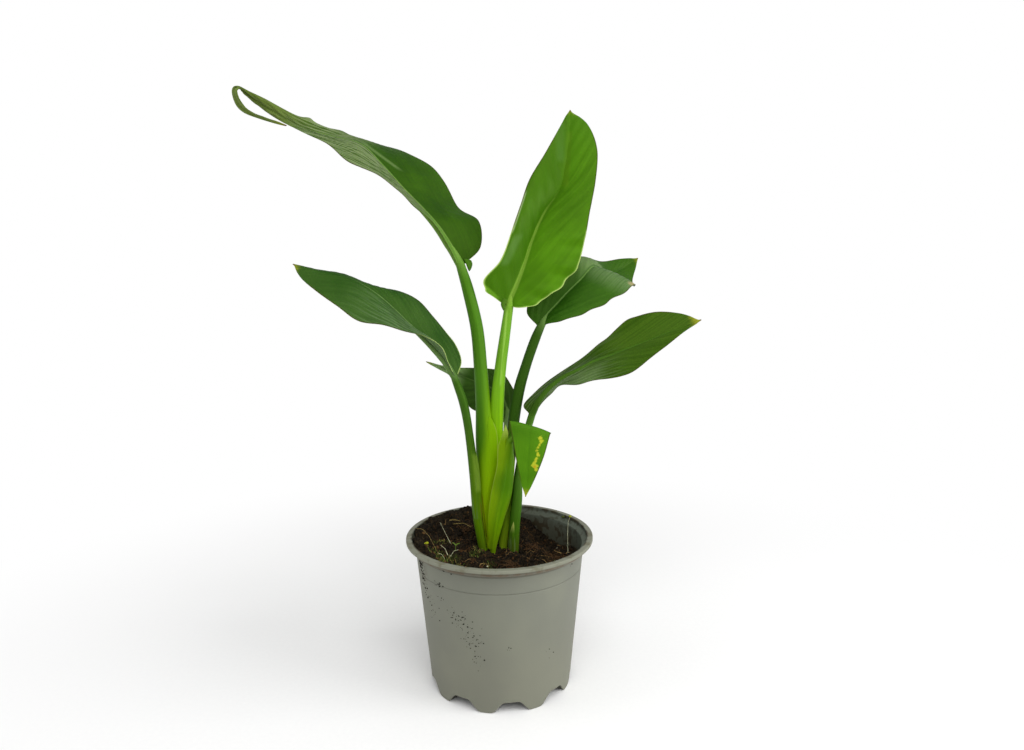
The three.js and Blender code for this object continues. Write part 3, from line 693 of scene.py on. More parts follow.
sprouts = [
    thread([(-56, 12, 98), (-50, 3, 101), (-45, -6, 99.5)] + rooted(-37.7, -14.6)[::-1], 0.13, STRAW),
    thread(rooted(-42.5, -17, (-44.5, -18.5, 96), (-45.3, -19.5, 99.5)), 0.17, GREEN),
    blob((-45.3, -19.5, 100), 1.1, YELLOW, 0.7),
    blob((-46.3, -19, 99.6), 0.7, YELLOW, 0.7),
    thread(rooted(44.2, -2.2, (45, 8, 94), (46.4, 18, 98), (48.4, 24.8, 99.5)), 0.12, WHITE),
    blob((48.4, 24.8, 99.8), 1.0, YELLOW, 0.7),
    thread(rooted(-31, 0, (-38.6, 5, 104.6)), 0.15, WHITE),
    thread([(-33.6, 29.5, 97), (-30, 29.3, 97.3), (-26.4, 29.1, 96.5)], 0.3, STRAW),
    thread([(-31, 23, 96.6), (-24, 23.6, 97), (-19, 21, 95)], 0.22, STRAW),
    thread(rooted(-32, -16, (-34.5, -13, 93.5), (-37.6, -10.5, 95)), 0.2, WHITE),
    thread(rooted(-32, -17, (-31, -21, 92.5), (-30.6, -24.6, 93)), 0.17, WHITE),
    thread(rooted(-31.5, -16.5, (-29, -17, 93.5), (-26, -18, 94.5)), 0.2, WHITE),
    thread(rooted(-33.5, -19.5, (-36, -21, 93), (-38.5, -20, 93.5)), 0.17, WHITE),
    thread(rooted(-28.5, -8.4, (-28, -8.6, 94.2)), 0.25, GREEN),
    thread([(-28, -8.6, 94), (-29.3, -9, 95.4), (-30, -9, 95.8)], 0.5, GREEN),
    thread([(-28, -8.6, 94), (-26.4, -8.6, 95), (-25.5, -8.8, 95.2)], 0.5, GREEN),
    blob((44.5, 32.5, 96.8), 1.3, MOSS, 0.6),
    blob((39, 17.6, compost_height(39, 17.6) + 0.6), 0.8, WHITE, 0.7),
    blob((-8, -26, compost_height(-8, -26) + 0.6), 0.6, WHITE, 0.7),
]
for x, y, reach, count in MOSS_CUSHIONS:
    for _ in range(count):
        from_middle, turn = reach * scatter.random() ** 0.7, scatter.uniform(0, FULL_TURN)
        foot_x, foot_y = x + from_middle * math.cos(turn), y + from_middle * math.sin(turn)
        lean_x, lean_y = scatter.uniform(-1.3, 1.3), scatter.uniform(-1.3, 1.3)
        top = (foot_x + lean_x, foot_y + lean_y, compost_height(foot_x, foot_y) + scatter.uniform(0.4, 1.7))
        sprouts.append(thread(rooted(foot_x, foot_y, top), TUFT_RADIUS, scatter.choice(MOSS_TONES)))
for x, y, reach, count in RUSTY_CLUMPS:
    for _ in range(count):
        middle = np.array((x + scatter.gauss(0, 0.5 * reach), y + scatter.gauss(0, 0.5 * reach), 0))
        middle[2] = compost_height(middle[0], middle[1]) + scatter.uniform(0, 1)
        half = np.array((scatter.uniform(-2.4, 2.4), scatter.uniform(-2.4, 2.4), scatter.uniform(-0.5, 0.5)))
        sprouts.append(thread([middle - half, middle + (0, 0, 0.8), middle + half], TUFT_RADIUS, RUST))
seedlings = make_piece("seedlings_and_moss", seedling_finish(), *joined(sprouts))
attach(seedlings, "root")

# Leaf at the back
# The oldest low leaf, seen from behind: its stalk rises behind the others and its blade hangs to
# the left. Like every leaf here it is a long stalk that runs on as the midrib of a thin blade.
CELLS_PER_HALF = 14
ROWS_PER_STATION = 12
FLAP_CELLS = 8
STALK_SIDES = 20
STALK_STEPS_PER_POINT = 6
BLADE_THICKNESS = 0.6
MARGIN_THICKNESS = 0.25
RIB_TIP_RADIUS = 0.3
RIB_TAPER = 1.4
RIB_END = 0.93
RIB_SINK = 0.97
RIB_SINK_STATIONS = 1.2
RIB_GROOVE = 0.12
GROOVE_SPREAD = 0.06
GROOVE_START, GROOVE_FULL = 0.35, 0.7
POINT_TAPER = 0.9
POINT_STATIONS = 0.5
STALK_SIDE_WIDTH = 0.8
FAR_FROM_EDGE = 9.0
NEARBY = 0.02
EDGE_BROWN = (54, 50, 18)
EDGE_PALE = (170, 190, 110)
EDGE_SKIN = (176, 182, 96)
SOIL_STAIN = (66, 56, 8)
TIP_STRAW = (150, 148, 36)
TIP_BROWN = (92, 60, 24)


def curve_through(points, stations):
    """Points of a smooth curve that passes through points[0], points[1] and so on at 0, 1 and on."""
    points = np.asarray(points, float)
    last = len(points) - 1
    padded = np.vstack([2 * points[0] - points[1], points, 2 * points[-1] - points[-2]])
    stations = np.clip(stations, 0, last)
    start = np.minimum(stations.astype(int), last - 1)
    t = (stations - start)[:, None]
    before, here, there, after = (padded[start + shift] for shift in range(4))
    return 0.5 * (
        2 * here
        + (there - before) * t
        + (2 * before - 5 * here + 4 * there - after) * t**2
        + (3 * here - before - 3 * there + after) * t**3
    )


def unit(vectors):
    """The vectors at length 1."""
    return vectors / np.maximum(np.linalg.norm(vectors, axis=-1, keepdims=True), 1e-9)


def climb_along(points):
    """How far each point is from the first one, along the line through all of them."""
    return np.concatenate([[0], np.cumsum(np.linalg.norm(np.diff(points, axis=0), axis=1))])


def face_normals(grid):
    """The normals of the upper face of a grid of rows from stalk to tip, columns left to right."""
    return unit(np.cross(np.gradient(grid, axis=1), np.gradient(grid, axis=0)))


def blade_grid(stations, camber, relief, cells, rows, frill=None):
    """The upper face as a grid, with its distances in millimetres across and along the blade."""
    count = len(stations) - 1
    steps = np.linspace(0, count, count * rows + 1)
    rails = [curve_through([station[rail] for station in stations], steps) for rail in range(3)]
    middle, left, right = rails
    rib = [station[0] for station in stations]
    along = unit(curve_through(rib, steps + NEARBY) - curve_through(rib, steps - NEARBY))
    swell = camber * np.sin(math.pi * steps / count)
    near_tip = np.clip(1 - (count - steps) / POINT_STATIONS, 0, 1)
    point_end = np.sqrt(1 - POINT_TAPER * near_tip**2)
    columns = []
    for out in np.linspace(-1, 1, 2 * cells + 1):
        reach = (left if out < 0 else right) - middle
        if frill:
            reach = reach * frill(out, steps / count)[:, None]
        up = unit(np.cross(reach, along)) * (-1 if out < 0 else 1)
        bulge = 4 * swell * abs(out) * (1 - abs(out))
        columns.append(middle + reach * (abs(out) * point_end)[:, None] + up * bulge[:, None])
    grid = np.stack(columns, axis=1)
    runs = np.linalg.norm(np.diff(grid, axis=1), axis=2)
    across = np.concatenate([np.zeros((len(grid), 1)), np.cumsum(runs, axis=1)], axis=1)
    across -= across[:, cells:cells + 1]
    climb = climb_along(middle)
    along = np.repeat(climb[:, None], 2 * cells + 1, axis=1)
    if relief:
        outs = np.linspace(-1, 1, 2 * cells + 1)[None, :]
        grid = grid + face_normals(grid) * relief(outs, across, along, along / climb[-1])[:, :, None]
    return grid, across, along


def blade(
    stations, camber=0.0, relief=None, cells=CELLS_PER_HALF, rows=ROWS_PER_STATION, sheath=0.0,
    frill=None,
):
    """A thin closed blade: stations of midrib, left margin and right margin from stalk to tip."""
    grid, across, along = blade_grid(stations, camber, relief, cells, rows, frill)
    height, width = across.shape
    outs = np.abs(np.linspace(-1, 1, width))[None, :]
    thick = BLADE_THICKNESS + (MARGIN_THICKNESS - BLADE_THICKNESS) * outs**2
    under = grid - face_normals(grid) * thick[:, :, None]
    points = np.concatenate([grid.reshape(-1, 3), under.reshape(-1, 3)])
    below = height * width
    faces = []
    for row in range(height - 1):
        for column in range(width - 1):
            a = row * width + column
            b, c, d = a + 1, a + width, a + width + 1
            faces.append((a, b, d, c))
            faces.append((a + below, c + below, d + below, b + below))
        left, right = row * width, (row + 1) * width - 1
        faces.append((left, left + width, left + width + below, left + below))
        faces.append((right, right + below, right + width + below, right + width))
    tip = (height - 1) * width
    for column in range(width - 1):
        faces.append((column, column + below, column + 1 + below, column + 1))
        faces.append((tip + column, tip + column + 1, tip + column + 1 + below, tip + column + below))
    half = np.where(across < 0, -across[:, :1], across[:, -1:])
    from_edge = half - np.abs(across) + 3 * np.clip(1 - half / 4, 0, 1)
    marks = {"across": across, "along": along, "share": along / along[-1, 0], "edge": from_edge}
    marks = {name: np.tile(values.reshape(-1), 2) for name, values in marks.items()}
    marks["upper"] = np.repeat([1.0, 0.0], below)
    marks["stalk"] = np.zeros(2 * below)
    marks["sheath"] = np.full(2 * below, sheath)
    return points, faces, marks


def stalk_and_rib(stalk, stations, camber, rib_end):
    """The stalk and the midrib as one closed tube of oval rings, grooved on the upper side."""
    steps = np.linspace(0, len(stalk) - 1, (len(stalk) - 1) * STALK_STEPS_PER_POINT + 1)
    middles = curve_through([point[:3] for point in stalk], steps)
    sizes = curve_through([point[3:] for point in stalk], steps)
    rise = np.linspace(0, 1, len(steps))
    grid, _, _ = blade_grid(stations, camber, None, 3, ROWS_PER_STATION)
    normals = face_normals(grid)[:, 3]
    rib_stations = round((len(stations) - 1) * rib_end)
    rib_steps = np.arange(2, rib_stations * ROWS_PER_STATION + 1, 2)
    station = rib_steps / ROWS_PER_STATION
    left = ((1 - station / rib_stations) ** RIB_TAPER)[:, None]
    rib_sizes = RIB_TIP_RADIUS + (sizes[-1] - RIB_TIP_RADIUS) * left
    sink = RIB_SINK * rib_sizes[:, 1] * np.minimum(1, station / RIB_SINK_STATIONS)
    rib_middles = grid[rib_steps, 3] - normals[rib_steps] * sink[:, None]
    middles = np.vstack([middles, rib_middles])
    sizes = np.vstack([sizes, rib_sizes])
    rise = np.concatenate([rise, 1 + station / rib_stations])
    heading = unit(np.gradient(middles, axis=0))
    facing = np.zeros_like(middles)
    facing[len(steps):] = normals[rib_steps]
    for ring in range(len(steps) - 1, -1, -1):
        facing[ring] = facing[ring + 1]
        facing[ring] -= heading[ring] * (facing[ring] @ heading[ring])
        facing[ring] /= np.linalg.norm(facing[ring])
    broad = np.array((1.0, 0, 0))
    points = []
    for ring, middle in enumerate(middles):
        broad = broad - heading[ring] * (broad @ heading[ring])
        broad /= np.linalg.norm(broad)
        narrow = np.cross(heading[ring], broad)
        for side in range(STALK_SIDES):
            turn = 2 * math.pi * side / STALK_SIDES
            spoke = broad * (sizes[ring, 0] * math.cos(turn)) + narrow * (sizes[ring, 1] * math.sin(turn))
            facing_share = (spoke / np.linalg.norm(spoke)) @ facing[ring]
            dip = math.exp(-((1 - facing_share) / GROOVE_SPREAD)) * RIB_GROOVE
            dip *= smooth_step(rise[ring], GROOVE_START, GROOVE_FULL)
            points.append(middle + spoke * (1 - dip))
    total = len(points)
    marks = {
        "across": np.tile(np.arange(STALK_SIDES) * STALK_SIDE_WIDTH, len(middles)),
        "along": np.repeat(climb_along(middles), STALK_SIDES),
        "share": np.repeat(rise, STALK_SIDES),
        "edge": np.full(total, FAR_FROM_EDGE),
        "upper": np.ones(total),
        "stalk": np.ones(total),
        "sheath": np.zeros(total),
    }
    return points, tube_faces(len(middles), STALK_SIDES), marks


def grow_leaf(name, finish, stalk, stations, camber, relief=None, flaps=(), frill=None, rib_end=RIB_END):
    """A whole leaf: the blade, the stalk with the midrib, and the flaps of its sheath.

    A row of the stalk is a place and its two half widths there. A station is a place on the
    midrib, one on the left margin and one on the right margin. All are in millimetres.
    """
    parts = [stalk_and_rib(stalk, stations, camber, rib_end)]
    parts.append(blade(stations, camber, relief, frill=frill))
    parts += [blade(flap, cells=FLAP_CELLS, rows=FLAP_CELLS, sheath=1.0) for flap in flaps]
    return make_piece(name, finish, *joined(parts))


def streak(place, low, high, width):
    """1 along a soft line from low to high, each an x and a height, as seen from the front."""
    x, z = place.axis("X"), place.axis("Z")
    slope = (high[0] - low[0]) / (high[1] - low[1])
    beside = abs(x - z * slope - (low[0] - low[1] * slope)).rise(width, 0.2 * width)
    return beside * z.rise(low[1] - 2, low[1] + 2) * z.rise(high[1] + 2, high[1] - 2)


def leaf_finish(
    name, dark, light, under, rib, stalk_top, stalk_low, low_height=150, rib_width=2.2,
    vein_slope=1.9, veins=1.0, tip_yellow=0.95, pale_edge=0.0, gloss=0.42,
    rib_fade=(0.5, 0.85), vein_fade=(0.7, 0.9), coats=None,
):
    """Leaf tissue: streaked along its side veins, with a midrib, edged margins and its own coats."""
    material, bench, place = start_finish(name)
    names = ("across", "along", "share", "edge", "upper", "stalk", "sheath")
    mark = {each: bench.mark(each) for each in names}
    share = mark["share"]
    out = abs(mark["across"])
    half = mark["across"].rise(-0.5, 0.5)
    vein = mark["along"] - out * vein_slope + place.grain(0.03, 2) * 8
    lines = bench.gather(vein * 1.3, out * 0.04, half * 9).grain(1, 3)
    bands = bench.gather(vein * 0.2, out * 0.03, half * 5).grain(1, 2)
    mark["runs"] = bench.gather(mark["across"] * 0.9, mark["along"] * 0.02, mark["stalk"]).grain(1, 3)
    patches = place.grain(0.045, 3)
    fine = place.grain(2.5, 2)
    calm = share.rise(vein_fade[1], vein_fade[0]) * veins
    own_coats = coats(place, mark) if coats else ()

    streaks = ((lines - 0.5) * 0.35 + (bands - 0.5) * 0.5) * calm + (patches - 0.5) * 0.6 + 0.5
    back_streaks = (lines - 0.5) * 1.3 * calm + (bands - 0.5) * 0.5 + 0.5
    upper = painted(display(*dark), (streaks.rise(0.3, 0.72), *light))
    lower = painted(display(*dark), (back_streaks.rise(0.3, 0.75), *under))
    band = (out / (rib_width * (1.06 - share))).rise(1, 0.45) * share.rise(rib_fade[1], rib_fade[0])
    # Painted shade: a darker strip on each side of the pale midrib, on the upper face.
    shade = (out / (rib_width * 1.9)).rise(1, 0.5) * (1 - band) * mark["upper"]
    near_edge = 1 - mark["edge"].rise(0, 4)
    yellow = (share + bands * 0.05 + near_edge * 0.02).rise(tip_yellow, tip_yellow + 0.07)
    browned = (share + bands * 0.1).rise(pale_edge, pale_edge + 0.08)
    edging = painted(display(*EDGE_PALE), (browned, *EDGE_BROWN))
    leaf = painted(
        mark["upper"].mix(lower, upper),
        *own_coats,
        (band * 0.75, *rib),
        (shade * calm.rise(0, 0.2) * 0.35, *dark),
        (yellow * 0.65, *TIP_STRAW),
        (share.rise(0.985, 1), *TIP_BROWN),
        (mark["edge"].rise(0.8, 0.3) * calm.rise(0, 0.3) * 0.75, edging),
    )

    height = place.axis("Z")
    skin = mark["runs"]
    stem = painted(
        display(*stalk_top),
        ((height + skin * 20).rise(low_height + 60, low_height), *stalk_low),
        (skin.rise(0.4, 0.65) * 0.25, *dark),
        *own_coats,
    )
    midrib = (share - 1).rise(*rib_fade).mix(display(*rib), mark["upper"].mix(display(*under), upper))
    flap_edge = mark["edge"].rise(0.7, 0.1) * share.rise(0.1, 0.8) * 0.3
    soiled = (height + skin * 14).rise(112, 94) * (0.45 + 0.55 * place.stretch(0.8, 0.8, 0.15).grain(1, 3))
    leaf = painted(
        leaf,
        (mark["stalk"], (share.rise(0.92, 1.1) * 0.8).mix(stem, midrib)),
        (mark["sheath"], painted(stem, (flap_edge, *EDGE_SKIN))),
        (soiled * 0.45, *SOIL_STAIN),
    )
    roughness = gloss + lines * 0.1 + patches * 0.14
    end_finish(
        bench, leaf, roughness, (lines + bands * 1.2) * calm + fine * 0.1, 0.15 * MM,
        Specular_IOR_Level=0.2, Specular_Tint=(0.75, 1.0, 0.25, 1), Subsurface_Weight=0.06,
        Subsurface_Radius=(0.4 * MM, 1.0 * MM, 0.1 * MM), Subsurface_Scale=1.0,
    )
    return material


def pleats(height, spacing, slope=1.9):
    """Soft folds along the side veins, fading towards the midrib, the margins and the tip."""
    def relief(outs, across, along, share):
        wave = np.sin(2 * math.pi * (along - slope * np.abs(across)) / spacing + np.sign(outs))
        reach = np.abs(outs)
        return height * wave * 4 * reach * (1 - reach) * np.sin(math.pi * share) ** 0.5
    return relief


back_leaf = grow_leaf(
    "back_leaf",
    leaf_finish(
        "back_leaf_green", dark=(24, 52, 10), light=(44, 78, 20), under=(66, 92, 46),
        rib=(70, 98, 44), stalk_top=(44, 78, 14), stalk_low=(44, 78, 6), rib_width=1.2,
        coats=lambda place, mark: [(mark["share"].rise(0.6, 0.75) * 0.85, 120, 148, 92)],
    ),
    stalk=[
        [1.5, 10, 65, 2.2, 2.2],
        [1.5, 10, 81, 2.5, 2.4],
        [3.5, 12, 116.5, 2.4, 2.4],
        [5, 14, 139.5, 2.3, 2.3],
        [6, 17, 155.5, 2.7, 2.1],
        [6.1, 20, 165.5, 2.3, 1.8],
    ],
    stations=[
        [[6.5, 20, 165.5], [5, 20, 158], [9.4, 21.5, 156.5]],
        [[6, 23, 176], [2, 21, 172.5], [12.5, 26, 180]],
        [[2.5, 26, 184], [-6, 22, 171.5], [8.5, 30, 191.5]],
        [[-5, 29, 189], [-13, 23, 173.5], [2, 33, 199]],
        [[-13, 31, 192], [-19, 25, 177], [-7.5, 34, 201]],
        [[-21.5, 32, 195.5], [-24, 28, 186], [-17.5, 34, 201.5]],
        [[-30, 32, 199.5], [-30.5, 30, 196], [-28, 33, 202]],
        [[-38.5, 31, 203], [-39, 30, 201.5], [-38, 32, 204]],
        [[-47, 30, 206.5], [-47, 30, 206], [-46.5, 30, 207]],
    ],
    camber=1,
    relief=pleats(0.2, 7),
)
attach(back_leaf, "root")
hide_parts("leaf_back")

# Upper right leaf
# A dark, older leaf that leans back to the right. Its stalk comes up between the middle ones,
# its left half lies in shade, and its tip turns away from the front.
def upper_right_coats(place, mark):
    """Shade and sheen on the left half, a grey sheen on the turn, a green tip and a dry corner."""
    x, y, z = (place.axis(name) for name in "XYZ")
    turning = (z - x * -0.5).rise(286, 300) * y.rise(36, 30) * mark["across"].rise(-2, 1)
    left_half = mark["across"].rise(0.3, -2)
    dry = (place.distance((91, 23, 256)) + place.grain(0.35, 3) * 6).rise(9.5, 7)
    return [
        (left_half * y.rise(27, 21) * 0.75, 18, 56, 0),
        (left_half * y.rise(22, 28) * y.rise(42, 36) * 0.7, 104, 128, 80),
        (turning * (0.45 + 0.45 * mark["runs"].rise(0.35, 0.65)), 92, 118, 72),
        (y.rise(38, 46) * 0.7, 42, 78, 8),
        (dry * 0.85, 150, 138, 100),
    ]


def upper_right_frill(out, share):
    """Shallow waves in the lower margin."""
    return 1 + 0.03 * np.sin(42 * (share - 0.35)) * smooth_step(share, 0.7, 0.5) * (out > 0)


upper_right_leaf = grow_leaf(
    "upper_right_leaf",
    leaf_finish(
        "upper_right_green", dark=(24, 66, 4), light=(46, 86, 16), under=(70, 100, 40),
        rib=(96, 128, 64), stalk_top=(34, 66, 10), stalk_low=(112, 142, 16),
        low_height=90, rib_width=1.0, vein_slope=2.2, veins=0.6, tip_yellow=0.97,
        coats=upper_right_coats,
    ),
    stalk=[
        [2, 2, 68.5, 2.9, 2.4],
        [1.7, 1.6, 84.5, 3.3, 2.8],
        [4.3, 2, 105, 2.9, 2.7],
        [6.2, 2, 121, 2.9, 2.8],
        [7, 3, 136, 2.8, 2.8],
        [8.2, 4, 152, 3.2, 3.1],
        [10, 5, 171.5, 3.7, 3.5],
        [13.5, 7, 190.5, 3.6, 3.3],
        [18.5, 9, 207, 3.2, 3],
        [24, 11, 222, 3.1, 2.8],
        [28, 12, 231, 2.6, 2.5],
    ],
    stations=[
        [[28, 12, 231], [26, 11, 231], [30, 11, 232]],
        [[32, 14, 238], [19, 10, 240], [41, 8, 234.5]],
        [[38.5, 17, 244.5], [23, 13, 251.5], [54, 9, 238.5]],
        [[46, 20, 252], [31.5, 16, 262], [66, 11, 243.5]],
        [[55, 24, 260], [43, 24, 271], [78, 15, 249.5]],
        [[64, 29, 268], [56.5, 33, 274.5], [89.5, 22, 256]],
        [[75, 42, 263], [71.5, 48, 271], [92, 37, 254.5]],
        [[86.5, 54, 265.5], [86, 58, 272.5], [93.5, 50, 259]],
        [[99.5, 64, 273], [99, 64, 273], [100, 63.5, 272]],
    ],
    camber=1.5,
    relief=pleats(0.3, 8),
    frill=upper_right_frill,
)
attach(upper_right_leaf, "root")
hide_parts("leaf_upper_right")

# Lower right leaf
# It is seen from its paler underside, rolled into a tube at the base and open towards its
# yellowing tip. A small pale flap of its sheath stands on the stalk.
def lower_right_coats(place, mark):
    """Grey-green streaks of painted sheen along the rolled base, a paler lobe under it with painted sheen,
    and a pale end on the flap.
    """
    runs = mark["runs"]
    rolled = mark["share"].rise(0.6, 0.3) * (1 - mark["stalk"])
    x, z = place.axis("X"), place.axis("Z")
    lobe = x.rise(38, 46) * x.rise(72, 60) * (z - x * 0.55).rise(174, 168)
    return [
        # Streaks along the veins of the rolled base: grey-green ones that are painted sheen, and darker ones
        # between.
        (rolled * runs.rise(0.46, 0.62) * 0.6, 104, 124, 84),
        (rolled * runs.rise(0.5, 0.36) * 0.5, 34, 60, 8),
        # The paler lobe: the underside's lighter colour, with painted sheen.
        (lobe * 0.45, 96, 120, 74),
        (mark["sheath"] * mark["share"].rise(0.6, 1) * 0.6, *EDGE_SKIN),
    ]


def lower_right_frill(out, share):
    """A dip and a shoulder in the upper margin, and shallow waves in the lower one."""
    if out <= 0:
        return 1 + 0.03 * np.sin(40 * share) * np.sin(math.pi * share)
    shoulder = 0.06 * np.exp(-((share - 0.7) / 0.03) ** 2)
    dip = 0.05 * np.exp(-((share - 0.62) / 0.025) ** 2)
    return 1 + shoulder - dip


lower_right_leaf = grow_leaf(
    "lower_right_leaf",
    leaf_finish(
        "lower_right_green", dark=(32, 62, 0), light=(52, 86, 8), under=(56, 86, 12),
        rib=(44, 74, 14), stalk_top=(66, 108, 30), stalk_low=(50, 88, 8),
        low_height=100, rib_width=0.8, vein_slope=3.5, veins=0.6,
        coats=lower_right_coats,
    ),
    stalk=[
        [8.5, -1, 70, 2.7, 2.7],
        [9, -1, 85.5, 3.2, 2.8],
        [9.8, -1, 104.5, 3.5, 3],
        [11.5, -1, 120.5, 3.3, 2.9],
        [12.3, -0.4, 135, 2.8, 2.5],
        [15, 1, 153, 2.1, 2.2],
        [18.5, 1, 166, 2.3, 2.3],
        [21.5, 1, 176, 2.3, 2.2],
    ],
    flaps=[[
        [[8, -4.2, 86], [5.6, -3, 86], [10.6, -3.6, 86]],
        [[8, -4.6, 97], [6, -3.6, 97], [9.8, -4.2, 97]],
        [[9, -4.3, 107], [8.6, -4.2, 107], [9.4, -4.2, 107]],
    ]],
    stations=[
        [[21.5, 1, 176], [23, 2.5, 176], [19.5, 3, 176.5]],
        [[25.5, 0, 184], [28, 3, 183], [16.5, 6, 181]],
        [[32, -1, 191.5], [34, 5, 188.5], [23.5, 10, 188]],
        [[40.5, -1, 198.5], [40.5, 7, 193.5], [32, 12, 195]],
        [[50, 0, 204], [53, 9, 193.5], [42.5, 13, 202]],
        [[59.5, 2, 209], [64.5, 10, 196.5], [55, 12, 210.5]],
        [[70, 4, 212.5], [79, 11, 197.5], [67, 11, 221]],
        [[84.5, 7, 217.5], [92.5, 12, 204.5], [83, 11, 233.5]],
        [[100, 9, 223], [107, 12, 216], [99.5, 12, 239]],
        [[116, 12, 228.5], [121, 13, 226.5], [117, 14, 238]],
        [[131.5, 15, 233.5], [131.5, 15, 232.5], [131, 15, 233.5]],
    ],
    camber=1,
    relief=pleats(0.08, 9, 3.5),
    frill=lower_right_frill,
)
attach(lower_right_leaf, "root")
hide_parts("leaf_lower_right")

# Lower left leaf
# Its blade arches out to the left, folded up at the base so that part of its underside shows.
# The sheath at the foot of its stalk ends in a pale green flap with a rusty foot.
def lower_left_coats(place, mark):
    """Pale streaks and a dark one along the blade, and the pale flap and rusty foot of the sheath."""
    pale = mark["across"].rise(1, -2) * mark["share"].rise(0.75, 0.35) * (1 - mark["stalk"])
    return [
        (pale * (0.25 + 0.75 * mark["runs"].rise(0.42, 0.6)) * 0.7, 96, 120, 80),
        (streak(place, (-41.6, 218.4), (-67.5, 250.3), 3) * 0.25, 30, 56, 12),
        (streak(place, (-12.6, 128), (-14.6, 152), 3.4) * 0.6, 112, 142, 44),
        (streak(place, (-9.2, 98), (-12, 120), 0.8) * 0.4, 100, 72, 12),
    ]


lower_left_leaf = grow_leaf(
    "lower_left_leaf",
    leaf_finish(
        "lower_left_green", dark=(26, 62, 14), light=(48, 80, 28), under=(92, 116, 68),
        rib=(96, 124, 70), stalk_top=(48, 84, 16), stalk_low=(70, 104, 0),
        low_height=126, rib_width=0.9, tip_yellow=0.975, vein_slope=3.2, pale_edge=0.3,
        coats=lower_left_coats,
    ),
    stalk=[
        [-8.5, -4, 71, 2.6, 2.4],
        [-10.4, -4, 87, 2.8, 2.6],
        [-12.4, -4, 100, 2.9, 2.7],
        [-14, -3, 113, 3.2, 3],
        [-15.5, -2, 137, 3.2, 3],
        [-17.9, -2, 160, 2.7, 2.7],
        [-19.8, -2, 175, 2.7, 2.7],
        [-22, -3, 186.5, 2.8, 2.6],
        [-25, -3, 195.5, 2.5, 2.4],
        [-27, -4, 201.5, 2.2, 2.2],
    ],
    flaps=[[
        [[-13.6, -6.4, 110], [-16, -5.5, 110], [-11, -5, 110]],
        [[-14.3, -5.6, 124], [-17, -4.6, 124], [-11.4, -4, 124]],
        [[-14, -5.3, 137], [-16.5, -4.4, 137], [-11.9, -3.6, 137]],
        [[-14.2, -4.6, 147], [-15.2, -4, 147], [-13, -3.6, 147]],
        [[-14.2, -4.1, 152.5], [-14.5, -4, 152.5], [-13.9, -4, 152.5]],
    ]],
    stations=[
        [[-27, -4, 201.5], [-26, -5.5, 201.5], [-25, -3, 202]],
        [[-32.5, -5, 213], [-30, -10, 211.5], [-22.5, 3, 210.5]],
        [[-39, -6, 221], [-33.5, -15, 221.5], [-26, 5, 220.5]],
        [[-46, -8, 228.5], [-42.5, -20, 228.5], [-32, 6, 228.5]],
        [[-54, -10, 236.5], [-55, -25, 232.5], [-40, 4, 239]],
        [[-62, -12, 245], [-66.5, -28, 236.5], [-48.5, 1, 249]],
        [[-71, -14, 253.5], [-80.5, -29, 239], [-60, -3, 255]],
        [[-82, -16, 261], [-92, -29, 247.5], [-75.5, -6, 258]],
        [[-94.5, -18, 266], [-103, -28, 255.5], [-88.5, -10, 264.5]],
        [[-107, -21, 268.5], [-112.5, -26, 263.5], [-103.5, -15, 268]],
        [[-117.5, -24, 272], [-117.5, -24.5, 271.5], [-117, -23.5, 272]],
    ],
    camber=1.2,
    relief=pleats(0.25, 8, 2.4),
)
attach(lower_left_leaf, "root")
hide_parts("leaf_lower_left")

# Tall left leaf
# The tallest old leaf: its blade bends over to the left and twists, with its underside grey-green
# and striped, and its tip drawn out to a ribbon that hooks back. Its sheath clasps the young leaf.
def tall_left_coats(place, mark):
    """A pale base partly lightened by painted light, the striped grey-green twist with a painted highlight,
    the olive ribbon and the yellow-green sheath with painted light towards its right.
    """
    runs, share, right = mark["runs"], mark["share"], mark["across"].rise(-0.6, 0.6)
    x, z = place.axis("X"), place.axis("Z")
    on_blade = (1 - mark["stalk"]) * (1 - mark["sheath"])
    uneven = share + runs * 0.06
    turned_over = on_blade * (right * share.rise(0.42, 0.5) + (1 - right) * uneven.rise(0.16, 0.27))
    stripes = painted(display(54, 78, 26), (runs.rise(0.4, 0.58), 110, 126, 84))
    low_on_stalk = (1 - on_blade) * z.rise(235, 150)
    lit_right_side = (x + runs * 3 + z.rise(170, 140) * 3).rise(-9.5, -2.5)
    return [
        # The pale base of the left half: partly the stalk's own pale colour, partly painted light where it
        # faces away from the lamps.
        (on_blade * (1 - right) * uneven.rise(0.26, 0.14) * 0.8, 96, 138, 50),
        (turned_over * 0.9, stripes),
        (on_blade * share.rise(0.58, 0.7) * 0.8, 82, 98, 38),
        # Painted highlight: a pale streak across the dark face of the twist.
        (streak(place, (-57.5, 327), (-78, 342), 2) * on_blade * 0.4, 110, 134, 80),
        # Painted light: the yellow-green sheath is made brighter towards its right side.
        (low_on_stalk * lit_right_side, 112, 156, 0),
        (low_on_stalk * z.rise(160, 100) * 0.8, 140, 176, 0),
        (mark["sheath"] * z.rise(240, 255) * 0.7, 44, 80, 8),
        (streak(place, (-8.2, 94), (-11, 124), 0.6) * 0.6, 96, 70, 12),
    ]


def tall_left_frill(out, share):
    """Small uneven steps in both margins of the twisted part, and two larger ones in the upper one."""
    ripple = np.sin(57 * share) + 0.6 * np.sin(93 * share + 2 * out)
    steps = np.exp(-((share - 0.418) / 0.012) ** 2) + np.exp(-((share - 0.475) / 0.01) ** 2)
    uneven = 0.035 * ripple * smooth_step(share, 0.15, 0.3) * smooth_step(share, 0.6, 0.5)
    return 1 + uneven + 0.25 * steps * (out > 0)


